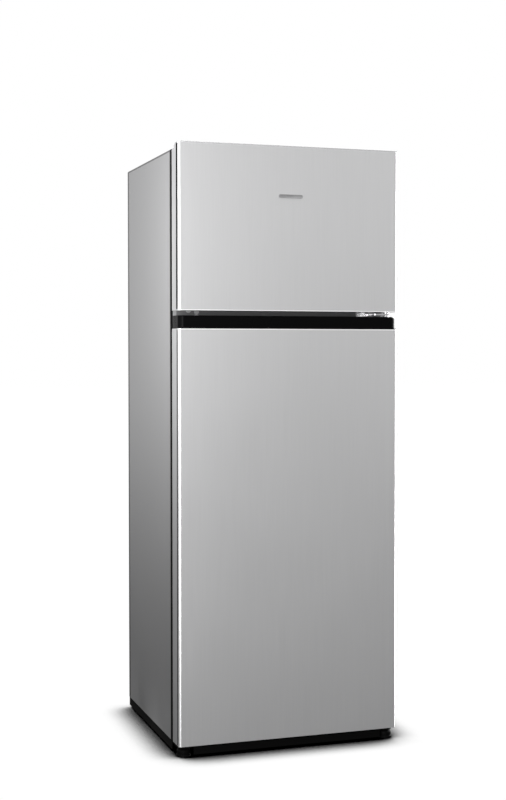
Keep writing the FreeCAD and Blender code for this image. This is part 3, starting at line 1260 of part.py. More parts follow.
def fridge_door_bins():
    """Three bins and a deeper bottle bin."""
    half = FRIDGE_DYKE_HALF - DYKE_WIDTH
    return [door_bin(half, BIN_REACH, z, height) for z, height in FRIDGE_BIN_HEIGHTS]


def freezer_door_bins():
    """Two shallow bins."""
    half = FREEZER_DYKE_HALF - DYKE_WIDTH
    return [door_bin(half, FREEZER_BIN_REACH, z, height) for z, height in FREEZER_BIN_HEIGHTS]


def egg_tray():
    """Moulded egg tray in the top bin."""
    z0 = FRIDGE_BIN_HEIGHTS[-1][0] + BIN_WALL
    y_mid = (DOOR_BACK + CABINET_FRONT + BIN_REACH) / 2
    half_x = EGG_PITCH * EGG_COLUMNS / 2 + 3
    half_y = EGG_PITCH * EGG_ROWS / 2 + 1
    block = box(EGG_X - half_x, EGG_X + half_x, y_mid - half_y, y_mid + half_y,
                z0, z0 + EGG_TRAY_HEIGHT)
    block = round_along(block, 8, Z_AXIS)
    cups = []
    for i in range(EGG_COLUMNS):
        for j in range(EGG_ROWS):
            x = EGG_X + EGG_PITCH * (i - (EGG_COLUMNS - 1) / 2)
            y = y_mid + EGG_PITCH * (j - (EGG_ROWS - 1) / 2)
            cups.append(Part.makeSphere(EGG_CUP_RADIUS, Vector(x, y, z0 + EGG_CUP_RISE)))
    return cut(block, cups)


def door_badge():
    """Small blank badge on the freezer door."""
    plate = box(-BADGE_HALF, BADGE_HALF, FRONT - BADGE_DEPTH, FRONT,
                HEIGHT - BADGE_DROP - BADGE_HEIGHT / 2, HEIGHT - BADGE_DROP + BADGE_HEIGHT / 2)
    return round_along(plate, BADGE_HEIGHT / 2 - 0.1, Y_AXIS)


# ---- Assembly ----
def write(name, shape):
    """One STEP file for one named piece or group of like pieces."""
    if isinstance(shape, list):
        shape = Part.makeCompound(shape)
    if not shape.isValid():
        print("not valid:", name)
    solids = shape.Solids
    print("%-26s solids %2d  volume %10.0f" % (name, len(solids), sum(s.Volume for s in solids)))
    if len(solids) == 1:
        shape = solids[0]
    shape.exportStep("parts/%s.step" % name)


def main():
    """Build every piece and write it."""
    os.makedirs("parts", exist_ok=True)
    holes = screws(0.02)
    plugs = blanking_plugs()
    tubes = refrigerant_tubes()
    plates = evaporator_plates()
    coil = condenser_coil()
    panes = shelf_glass()
    rail = cut(mid_rail(), holes + plugs)
    pan = cut(base_pan(), [drain_tube(False)] + tubes + holes)

    write("outer_wrapper", cut(outer_wrapper(), holes + plugs))
    write("back_panel", back_panel())
    write("base_pan", pan)
    write("fridge_liner", fridge_liner())
    write("freezer_liner", freezer_liner())
    write("mid_rail", rail)
    write("cabinet_foam", cabinet_foam([mid_rail(), drain_tube(False)] + plates + tubes
                                       + holes + plugs))
    write("base_frame", cut(base_frame(), holes))
    write("kick_plate", kick_plate())
    write("compressor_plate", compressor_plate())
    write("rear_roller_left", roller(-1))
    write("rear_roller_right", roller(1))
    write("levelling_foot_left", levelling_foot(-1))
    write("levelling_foot_right", levelling_foot(1))
    write("bottom_hinge", cut(bottom_hinge(), holes))
    write("foot_bracket", cut(foot_bracket(), holes))
    write("middle_hinge", cut(middle_hinge(), holes))
    write("top_hinge", cut(top_hinge(), holes))
    write("top_hinge_cover", top_hinge_cover())
    write("hinge_screws", screws())
    write("blanking_plugs", plugs)

    write("compressor", compressor())
    write("compressor_grommets", grommets())
    write("compressor_bolts", compressor_bolts())
    write("terminal_cover", terminal_cover())
    write("drip_tray", drip_tray())
    write("drain_tube", drain_tube())
    write("condenser_coil", coil)
    write("condenser_wires", condenser_wires())
    write("condenser_spacers", condenser_spacers(coil))
    write("refrigerant_tubes", tubes)
    write("filter_drier", filter_drier())
    write("evaporator_plates", plates)
    write("cord_gland", cord_gland())

    write("control_housing", control_housing())
    write("lamp_lens", lamp_lens())
    write("lamp_bulb", lamp_bulb())
    write("thermostat", thermostat())
    write("thermostat_knob", thermostat_knob())
    write("light_switch_plunger", light_switch_plunger())
    write("shelf_glass", panes)
    write("shelf_trims", shelf_trims(panes))
    write("crisper_drawer", crisper_drawer())
    write("ice_cube_tray", ice_cube_tray())

    freezer_dyke = (FREEZER_DYKE_HALF, FREEZER_FLOOR + DYKE_GAP, FREEZER_CEILING - DYKE_GAP)
    top_cap = freezer_top_cap()
    bottom_cap = freezer_bottom_cap()
    freezer_returns = skin_returns(FREEZER_DOOR_BOTTOM, HEIGHT)
    freezer_voids = [pin_bore(LEDGE_TOP - PIN_REACH - 1), pin_bore(FREEZER_DOOR_BOTTOM - 1),
                     grip_recess(FREEZER_DOOR_BOTTOM - 1, FREEZER_DOOR_BOTTOM + GRIP_DEPTH)]
    write("freezer_door_skin", freezer_door_skin())
    write("freezer_door_top_cap", top_cap)
    write("freezer_door_bottom_cap", bottom_cap)
    write("freezer_door_liner", door_liner(*freezer_dyke, FREEZER_DOOR_BOTTOM + SKIN + CAP_PLUG,
                                           LEDGE_TOP - CAP_PLUG))
    write("freezer_door_foam", door_foam(FREEZER_DOOR_BOTTOM + SKIN, LEDGE_TOP - CAP_COVER, SKIN,
                                         FREEZER_GROOVE_RADIUS, *freezer_dyke,
                                         [top_cap, bottom_cap] + freezer_returns
                                         + freezer_voids))
    write("freezer_door_gasket", gasket(FREEZER_DOOR_BOTTOM + GASKET_END_INSET,
                                        LEDGE_TOP - GASKET_END_INSET - 2))
    write("freezer_door_bins", freezer_door_bins())
    write("door_badge", door_badge())

    fridge_dyke = (FRIDGE_DYKE_HALF, FRIDGE_FLOOR + DYKE_GAP, FRIDGE_CEILING - DYKE_GAP)
    handle_cap = fridge_handle_cap()
    low_cap = fridge_bottom_cap()
    fridge_returns = skin_returns(DOOR_FLOOR_GAP, HANDLE_CAP_BASE)
    write("fridge_door_skin", fridge_door_skin())
    write("fridge_door_handle_cap", handle_cap)
    write("fridge_door_bottom_cap", low_cap)
    write("fridge_door_liner", door_liner(*fridge_dyke, DOOR_FLOOR_GAP + SKIN + CAP_PLUG,
                                          HANDLE_CAP_TOP - 4))
    write("fridge_door_foam", door_foam(DOOR_FLOOR_GAP + SKIN, HANDLE_CAP_BASE - SKIN, SKIN,
                                        FRIDGE_GROOVE_RADIUS, *fridge_dyke,
                                        [handle_cap, low_cap, pin_bore(DOOR_FLOOR_GAP - 1)]
                                        + fridge_returns))
    write("fridge_door_gasket", gasket(DOOR_FLOOR_GAP + GASKET_FLOOR_INSET,
                                       HANDLE_CAP_TOP - GASKET_END_INSET))
    write("fridge_door_bins", fridge_door_bins())
    write("egg_tray", egg_tray())


main()
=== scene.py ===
"""Looks of a free-standing refrigerator with a top freezer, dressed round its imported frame."""
import logging
import math
from dataclasses import dataclass, field

import bmesh
import bpy
from mathutils import Matrix, Vector


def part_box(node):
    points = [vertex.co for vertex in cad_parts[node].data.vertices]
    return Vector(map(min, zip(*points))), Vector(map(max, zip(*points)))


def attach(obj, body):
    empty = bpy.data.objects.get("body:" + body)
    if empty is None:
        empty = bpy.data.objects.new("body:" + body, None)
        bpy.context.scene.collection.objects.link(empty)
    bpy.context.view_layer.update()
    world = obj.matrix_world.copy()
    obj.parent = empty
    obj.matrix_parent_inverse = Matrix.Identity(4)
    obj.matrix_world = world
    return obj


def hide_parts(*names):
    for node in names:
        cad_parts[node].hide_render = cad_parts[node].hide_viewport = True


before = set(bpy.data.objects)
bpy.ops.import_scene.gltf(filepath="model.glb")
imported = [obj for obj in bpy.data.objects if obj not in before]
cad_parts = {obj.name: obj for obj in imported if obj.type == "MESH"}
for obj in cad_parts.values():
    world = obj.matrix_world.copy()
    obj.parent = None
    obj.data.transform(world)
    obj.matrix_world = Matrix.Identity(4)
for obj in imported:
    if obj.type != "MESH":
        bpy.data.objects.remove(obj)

LOG = logging.getLogger("refrigerator")
MM = 0.001
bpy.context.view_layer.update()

Span = tuple[float, float]
Triple = tuple[float, float, float]
Colour = Triple


# ---- Shader maths ----
class Value:
    """A number that a shader works out; its operators add Math nodes."""

    def __init__(self, graph: "Graph", source: "bpy.types.NodeSocket | float") -> None:
        """Wrap a socket or a plain number.

        Args:
            graph: The graph that the maths is added to.
            source: A socket, or a number that is the same all over.
        """
        self.graph = graph
        self.source = source

    def _math(self, operation: str, *others: "Value | float", flip: bool = False) -> "Value":
        """Add one Math node.

        Args:
            operation: The node's operation.
            others: The values after this one.
            flip: True to put this value second.

        Returns:
            The node's result.
        """
        values = [self.source] + [o.source if isinstance(o, Value) else o for o in others]
        if flip:
            values[0], values[1] = values[1], values[0]
        node = self.graph.node("ShaderNodeMath", {"operation": operation}, dict(enumerate(values)))
        return Value(self.graph, node.outputs[0])

    def __add__(self, other: "Value | float") -> "Value":
        """This plus the other."""
        return self._math("ADD", other)

    def __mul__(self, other: "Value | float") -> "Value":
        """This times the other."""
        return self._math("MULTIPLY", other)

    def __sub__(self, other: "Value | float") -> "Value":
        """This less the other."""
        return self._math("SUBTRACT", other)

    def __rsub__(self, other: float) -> "Value":
        """The other less this."""
        return self._math("SUBTRACT", other, flip=True)

    __radd__ = __add__
    __rmul__ = __mul__

    def size(self) -> "Value":
        """The value without its sign."""
        return self._math("ABSOLUTE")

    def least(self, other: "Value | float") -> "Value":
        """The smaller of the two."""
        return self._math("MINIMUM", other)

    def most(self, other: "Value | float") -> "Value":
        """The larger of the two."""
        return self._math("MAXIMUM", other)

    def ramp(self, low: float, high: float, start: float = 0.0, end: float = 1.0) -> "Value":
        """A smooth step.

        Args:
            low: Where the step begins.
            high: Where it ends.
            start: The result up to low.
            end: The result from high on.

        Returns:
            The stepped value.
        """
        node = self.graph.node("ShaderNodeMapRange", {"interpolation_type": "SMOOTHSTEP"},
                               {"Value": self.source, "From Min": low, "From Max": high,
                                "To Min": start, "To Max": end})
        return Value(self.graph, node.outputs[0])

    def fade(self, low: float, high: float) -> "Value":
        """1 up to low, falling smoothly to 0 at high."""
        return self.ramp(low, high, 1.0, 0.0)


class Graph:
    """The node tree of one material, with its Principled shader."""

    SPECIAL = {"ior": "IOR", "specular": "Specular IOR Level"}

    def __init__(self, name: str) -> None:
        """Start a material.

        Args:
            name: The material's name.
        """
        self.material = bpy.data.materials.new(name)
        self.material.use_nodes = True
        self.tree = self.material.node_tree
        self.shader = next(n for n in self.tree.nodes if n.type == "BSDF_PRINCIPLED")
        self._place: bpy.types.NodeSocket | None = None

    def node(self, kind: str, settings: dict | None = None,
             inputs: dict | None = None) -> bpy.types.Node:
        """Add a node.

        Args:
            kind: The node's type.
            settings: Its properties, which are set first.
            inputs: Values or links by socket name or number.

        Returns:
            The new node.
        """
        node = self.tree.nodes.new(kind)
        for key, value in (settings or {}).items():
            setattr(node, key, value)
        for key, value in (inputs or {}).items():
            self.feed(node.inputs[key], value)
        return node

    def feed(self, socket: bpy.types.NodeSocket, value: object) -> None:
        """Link a socket to a value, or set it.

        Args:
            socket: The input.
            value: A Value, a socket or a constant.
        """
        source = value.source if isinstance(value, Value) else value
        if isinstance(source, bpy.types.NodeSocket):
            self.tree.links.new(source, socket)
        else:
            socket.default_value = source

    def set(self, **inputs: object) -> None:
        """Feed the Principled shader, one keyword to each input, such as base_color."""
        for key, value in inputs.items():
            name = self.SPECIAL.get(key, key.replace("_", " ").title())
            self.feed(self.shader.inputs[name], value)

    def place(self, scale: Triple | float = 1.0) -> bpy.types.NodeSocket:
        """Object coordinates in metres.

        Args:
            scale: How many times to multiply them, along each axis or all.

        Returns:
            The scaled vector.
        """
        if self._place is None:
            self._place = self.node("ShaderNodeTexCoord").outputs["Object"]
        if scale == 1.0:
            return self._place
        factors = scale if isinstance(scale, tuple) else (scale,) * 3
        return self.node("ShaderNodeVectorMath", {"operation": "MULTIPLY"},
                         {0: self._place, 1: factors}).outputs[0]

    def axes(self) -> tuple[Value, Value, Value]:
        """The place along X, Y and Z, in metres."""
        split = self.node("ShaderNodeSeparateXYZ", None, {0: self.place()})
        return tuple(Value(self, s) for s in split.outputs)

    def noise(self, scale: Triple | float, detail: float = 2.0, seed: float = 0.0) -> Value:
        """Cloudy noise from 0 to 1.

        Args:
            scale: Features to the metre, along each axis or all.
            detail: How many finer layers it has.
            seed: Moves it to another part of the pattern.

        Returns:
            The noise.
        """
        vector = self.place(scale)
        if seed:
            vector = self.node("ShaderNodeVectorMath", {"operation": "ADD"},
                               {0: vector, 1: (seed, seed, seed)}).outputs[0]
        node = self.node("ShaderNodeTexNoise", None,
                         {"Vector": vector, "Scale": 1.0, "Detail": detail})
        return Value(self, node.outputs[0])

    def cells(self, scale: float, edge: bool = False) -> Value:
        """Random cells: a shade to each, or the distance to their borders.

        Args:
            scale: Cells to the metre.
            edge: True for the distance.

        Returns:
            The shade or the distance.
        """
        feature = "DISTANCE_TO_EDGE" if edge else "F1"
        node = self.node("ShaderNodeTexVoronoi", {"feature": feature},
                         {"Vector": self.place(), "Scale": scale})
        if edge:
            return Value(self, node.outputs["Distance"])
        split = self.node("ShaderNodeSeparateColor", None, {0: node.outputs["Color"]})
        return Value(self, split.outputs[0])

    def blend(self, share: Value | float, first: object, second: object) -> bpy.types.NodeSocket:
        """Mix two colours.

        Args:
            share: How much of the second.
            first: A colour or a socket.
            second: A colour or a socket.

        Returns:
            The mixed colour.
        """
        node = self.node("ShaderNodeMix", {"data_type": "RGBA"})
        self.feed(node.inputs[0], share)
        for socket, colour in ((node.inputs[6], first), (node.inputs[7], second)):
            self.feed(socket, (*colour, 1.0) if isinstance(colour, tuple) else colour)
        return node.outputs[2]

    def bump(self, height: Value, depth: float, strength: float = 1.0) -> bpy.types.NodeSocket:
        """Relief from a height.

        Args:
            height: The height from 0 to 1.
            depth: How deep that is, in metres.
            strength: How much of it shows.

        Returns:
            The normal.
        """
        node = self.node("ShaderNodeBump", None,
                         {"Height": height, "Distance": depth, "Strength": strength})
        return node.outputs[0]

    def glance(self, blend: float) -> Value:
        """How far the surface is seen edge on, from 0 to 1."""
        weight = self.node("ShaderNodeLayerWeight", None, {"Blend": blend})
        return Value(self, weight.outputs["Facing"])

    def edges(self, node: str, width: float) -> Value:
        """Where the surface comes near an outer edge of a piece, broken up.

        Args:
            node: The CAD node whose box has the edges.
            width: How far from an edge it reaches, in metres.

        Returns:
            A mask, 1 at the edges.
        """
        low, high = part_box(node)
        near = [(axis - low[i]).least(high[i] - axis).fade(0.0, width)
                for i, axis in enumerate(self.axes())]
        both = (near[0] * near[1]).most(near[1] * near[2]).most(near[0] * near[2])
        return both * self.noise(90.0, 3.0).ramp(0.38, 0.62)


# ---- Finishes ----
@dataclass(frozen=True)
class Finish:
    """What all finishes have."""

    name: str
    colour: Colour
    roughness: float

    def material(self) -> bpy.types.Material:
        """The finished material."""
        graph = Graph(self.name)
        self.dress(graph)
        return graph.material

    def dress(self, graph: Graph) -> None:
        """Build the shader; each finish has its own."""
        raise NotImplementedError

    def shade(self, factor: float) -> Colour:
        """The colour, lighter or darker by a factor."""
        return tuple(min(1.0, c * factor) for c in self.colour)


@dataclass(frozen=True)
class Inox(Finish):
    """Steel sheet with a fine grained film under clear lacquer, with a painted highlight along its
    edges.
    """

    sheet: str
    meets_above: bool = False
    metallic: float = 0.8
    grain: Triple = (900.0, 900.0, 6.0)
    rubbed: float = 4 * MM
    bright: Colour = (0.97, 0.97, 0.97)
    # How far the painted highlight reaches in from the sides and from the edge where the doors
    # meet.
    side_fold: Span = (3.8 * MM, 4.8 * MM)
    meeting_fold: Span = (1.8 * MM, 2.6 * MM)
    face: Span = (4 * MM, 5 * MM)

    def dress(self, graph: Graph) -> None:
        """Fine streaks, broad cloudiness, slightly rubbed edges and a painted highlight along the
        edges.
        """
        streaks = graph.noise(self.grain, 4.0)
        flecks = graph.noise(1400.0, 2.0, 7.0)
        clouds = graph.noise(2.2, 2.0, 3.0)
        lines = streaks.ramp(0.25, 0.75)
        rubbed = graph.edges(self.sheet, self.rubbed)
        tone = graph.blend(lines * 0.7 + flecks * 0.3, self.shade(0.975), self.shade(1.025))
        tone = graph.blend(rubbed * 0.5, tone, self.shade(1.15))
        # Painted highlight: a near white band down both sides of the face and along the edge where
        # the doors meet.
        tone = graph.blend(self._fold(graph), tone, self.bright)
        rough = self.roughness + (streaks - 0.5) * 0.1 + (clouds - 0.5) * 0.06 - rubbed * 0.05
        graph.set(base_color=tone, roughness=rough, metallic=self.metallic,
                  coat_weight=0.15, coat_roughness=0.3,
                  normal=graph.bump(streaks * 0.6 + flecks * 0.4, 0.01 * MM, 0.5))

    def _fold(self, graph: Graph) -> Value:
        """Where the painted highlight lies: down both sides of a door's face and where the doors
        meet.
        """
        low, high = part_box(self.sheet)
        across, along, up = graph.axes()
        sides = (across - low.x).least(high.x - across).fade(*self.side_fold)
        meeting = (up - (high.z if self.meets_above else low.z)).size()
        return sides.most(meeting.fade(*self.meeting_fold)) * (along - low.y).fade(*self.face)


@dataclass(frozen=True)
class SatinPaint(Finish):
    """Baked paint with a faint orange peel, dusty towards the floor."""

    metallic: float = 0.0
    peel: float = 0.04 * MM
    specular: float = 0.5
    sheet: str = ""
    dust_top: float = 160 * MM
    rubbed: float = 2.5 * MM
    skin: Span = (1 * MM, 2 * MM)
    # How far the dark bands reach from the top and the rear edges.
    top_fold: Span = (5 * MM, 6.5 * MM)
    rear_fold: Span = (12 * MM, 16 * MM)
    # How far the painted shade of the door gap reaches back along the sides and in across the
    # front flange.
    front_fold: Span = (6 * MM, 7 * MM)
    lip: Span = (5 * MM, 6 * MM)
    paler: float = 0.72

    def dress(self, graph: Graph) -> None:
        """Orange peel, cloudy gloss and dust low down; on a sheet, bare edges, dark bands along
        the top and rear edges and painted shade of the door gap.
        """
        peel = graph.noise(260.0, 2.0)
        clouds = graph.noise(3.0, 3.0, 5.0)
        specks = graph.noise(1800.0, 1.0, 2.0)
        dust = graph.axes()[2].fade(0.0, self.dust_top) * clouds.ramp(0.35, 0.7)
        tone = graph.blend(clouds * 0.6 + specks * 0.4, self.shade(0.96), self.shade(1.04))
        tone = graph.blend(dust * 0.04, tone, (0.12, 0.11, 0.10))
        rough = self.roughness + (clouds - 0.5) * 0.1 + (specks - 0.5) * 0.06 + dust * 0.12
        if self.sheet:
            rubbed = graph.edges(self.sheet, self.rubbed)
            tone = graph.blend(rubbed * 0.4, tone, self.shade(1.3))
            # Dark bands along the top and rear edges, and painted shade of the door gap at the
            # front edge.
            tone = graph.blend(self._folds(graph), tone, self.shade(0.02))
            rough = rough - rubbed * 0.08
        relief = graph.bump(peel * 0.8 + specks * 0.2, self.peel, 0.5)
        graph.set(base_color=tone, roughness=rough, metallic=self.metallic,
                  specular=self.specular, normal=relief)

    def _folds(self, graph: Graph) -> Value:
        """Dark bands along a wrapped sheet's top and rear edges, and painted shade of the door gap
        at its front edge.
        """
        low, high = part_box(self.sheet)
        across, along, up = graph.axes()
        inset = (across - low.x).least(high.x - across)
        behind = along - low.y
        side = inset.fade(*self.skin)
        top = (high.z - up).fade(*self.top_fold)
        rear = (high.y - along).fade(*self.rear_fold)
        # Painted shade of the door gap: the front flange near each side, and each side near the
        # front.
        lip = behind.fade(*self.skin) * inset.fade(*self.lip)
        front = side * behind.fade(*self.front_fold)
        return (side * top.most(rear) * self.paler).most(lip).most(front)


@dataclass(frozen=True)
class Enamel(Finish):
    """Thick black enamel, dipped, with runs and dust."""

    def dress(self, graph: Graph) -> None:
        """Soft waves and settled dust."""
        runs = graph.noise((160.0, 160.0, 40.0), 2.0)
        dust = graph.noise(60.0, 4.0, 4.0).ramp(0.45, 0.8)
        scuffs = graph.noise(420.0, 3.0, 9.0).ramp(0.62, 0.75)
        tone = graph.blend(dust * 0.25, self.colour, (0.16, 0.15, 0.14))
        tone = graph.blend(scuffs * 0.3, tone, (0.12, 0.12, 0.125))
        graph.set(base_color=tone, roughness=self.roughness + dust * 0.3 + scuffs * 0.15,
                  coat_weight=0.3, coat_roughness=0.15,
                  normal=graph.bump(runs, 0.15 * MM, 0.4))


@dataclass(frozen=True)
class Moulding(Finish):
    """Injection moulded or vacuum formed plastic."""

    texture: float = 900.0
    depth: float = 0.03 * MM
    coat: float = 0.0
    specular: float = 0.5
    scuffed: str = ""

    def dress(self, graph: Graph) -> None:
        """Eroded tool texture, flow marks and scuffs on the edges."""
        pits = graph.noise(self.texture, 2.0)
        flow = graph.noise((9.0, 9.0, 3.0), 3.0, 6.0)
        tone = graph.blend(flow * 0.7 + pits * 0.3, self.shade(0.95), self.shade(1.03))
        rough = self.roughness + (flow - 0.5) * 0.12 + (pits - 0.5) * 0.12
        if self.scuffed:
            worn = graph.edges(self.scuffed, 2 * MM)
            lighter = tuple(c * 0.8 + 0.008 for c in self.colour)
            tone = graph.blend(worn * 0.5, tone, lighter)
            rough = rough + worn * 0.1
        graph.set(base_color=tone, roughness=rough, specular=self.specular,
                  coat_weight=self.coat, coat_roughness=0.08,
                  normal=graph.bump(pits, self.depth, 0.5))


@dataclass(frozen=True)
class ClearMoulding(Finish):
    """Clear plastic with moulded grain, scratched in use."""

    opacity: float = 0.3
    ribs: float = 0.0

    def dress(self, graph: Graph) -> None:
        """Denser where seen edge on, with fine scratches and optional ribs."""
        glance = graph.glance(0.35)
        scratches = graph.noise((30.0, 700.0, 700.0), 3.0).ramp(0.6, 0.72)
        haze = graph.noise(12.0, 3.0, 2.0)
        height = scratches * 0.3 + haze * 0.2
        if self.ribs:
            wave = graph.node("ShaderNodeTexWave", {"bands_direction": "X"},
                              {"Vector": graph.place(), "Scale": self.ribs})
            height = height + Value(graph, wave.outputs[1])
        cover = self.opacity + glance * 0.45 + scratches * 0.08 + haze * 0.05
        relief = 0.3 * MM if self.ribs else 0.04 * MM
        graph.set(base_color=graph.blend(haze, self.shade(0.97), self.colour),
                  roughness=self.roughness + scratches * 0.2 + haze * 0.06,
                  alpha=cover.least(1.0), ior=1.5, normal=graph.bump(height, relief, 0.6))


@dataclass(frozen=True)
class FloatGlass(Finish):
    """Toughened glass with a green edge and fingerprints."""

    def dress(self, graph: Graph) -> None:
        """Clear face, green where seen edge on, faint smears."""
        glance = graph.glance(0.4)
        smears = graph.noise((14.0, 22.0, 14.0), 4.0).ramp(0.52, 0.72)
        tone = graph.blend(glance, self.colour, (0.32, 0.6, 0.5))
        graph.set(base_color=tone, roughness=self.roughness + smears * 0.12,
                  alpha=(0.14 + glance * 0.5 + smears * 0.05).least(1.0), ior=1.52,
                  normal=graph.bump(smears, 0.01 * MM, 0.3))


@dataclass(frozen=True)
class Rubber(Finish):
    """Soft seal or grommet compound with bloom."""

    specular: float = 0.5

    def dress(self, graph: Graph) -> None:
        """Matte skin with powdery bloom."""
        skin = graph.noise(700.0, 2.0)
        bloom = graph.noise(45.0, 4.0, 3.0).ramp(0.4, 0.75)
        tone = graph.blend(bloom * 0.3, self.colour, tuple(c * 1.6 + 0.002 for c in self.colour))
        graph.set(base_color=tone, specular=self.specular,
                  roughness=self.roughness + bloom * 0.12 + (skin - 0.5) * 0.08,
                  normal=graph.bump(skin, 0.06 * MM, 0.5))


@dataclass(frozen=True)
class Plated(Finish):
    """Bright zinc, copper or aluminium, drawn or pressed, with patchy tarnish."""

    tarnish: Colour = (0.42, 0.41, 0.38)
    amount: float = 0.5
    lines: Triple = (500.0, 500.0, 40.0)

    def dress(self, graph: Graph) -> None:
        """Drawing lines and patchy tarnish."""
        drawn = graph.noise(self.lines, 3.0)
        patches = graph.noise(38.0, 5.0, 8.0).ramp(0.42, 0.7)
        tone = graph.blend(patches * self.amount, self.colour, self.tarnish)
        graph.set(base_color=tone, metallic=1.0 - patches * (0.3 * self.amount),
                  roughness=self.roughness + patches * 0.22 + (drawn - 0.5) * 0.14,
                  normal=graph.bump(drawn, 0.03 * MM, 0.4))


@dataclass(frozen=True)
class Spangled(Finish):
    """Hot dip galvanised sheet."""

    def dress(self, graph: Graph) -> None:
        """Crystal spangles of different shades and gloss."""
        crystals = graph.cells(95.0)
        borders = graph.cells(95.0, edge=True).fade(0.0, 0.06)
        stain = graph.noise(6.0, 4.0, 2.0).ramp(0.4, 0.7)
        tone = graph.blend(crystals, self.shade(0.88), self.shade(1.1))
        tone = graph.blend(stain * 0.25, tone, self.shade(0.75))
        graph.set(base_color=tone, metallic=0.7,
                  roughness=self.roughness + (crystals - 0.5) * 0.16 + borders * 0.08,
                  normal=graph.bump(crystals * 0.5 + borders * 0.5, 0.03 * MM, 0.4))


@dataclass(frozen=True)
class Foam(Finish):
    """Rigid foam with an open, freshly expanded skin."""

    def dress(self, graph: Graph) -> None:
        """Small bubbles and uneven colour."""
        bubbles = graph.cells(420.0, edge=True).ramp(0.0, 0.3)
        patches = graph.noise(18.0, 4.0)
        graph.set(base_color=graph.blend(patches, self.shade(0.9), self.shade(1.06)),
                  roughness=self.roughness + (patches - 0.5) * 0.1,
                  normal=graph.bump(bubbles, 0.4 * MM, 0.7))


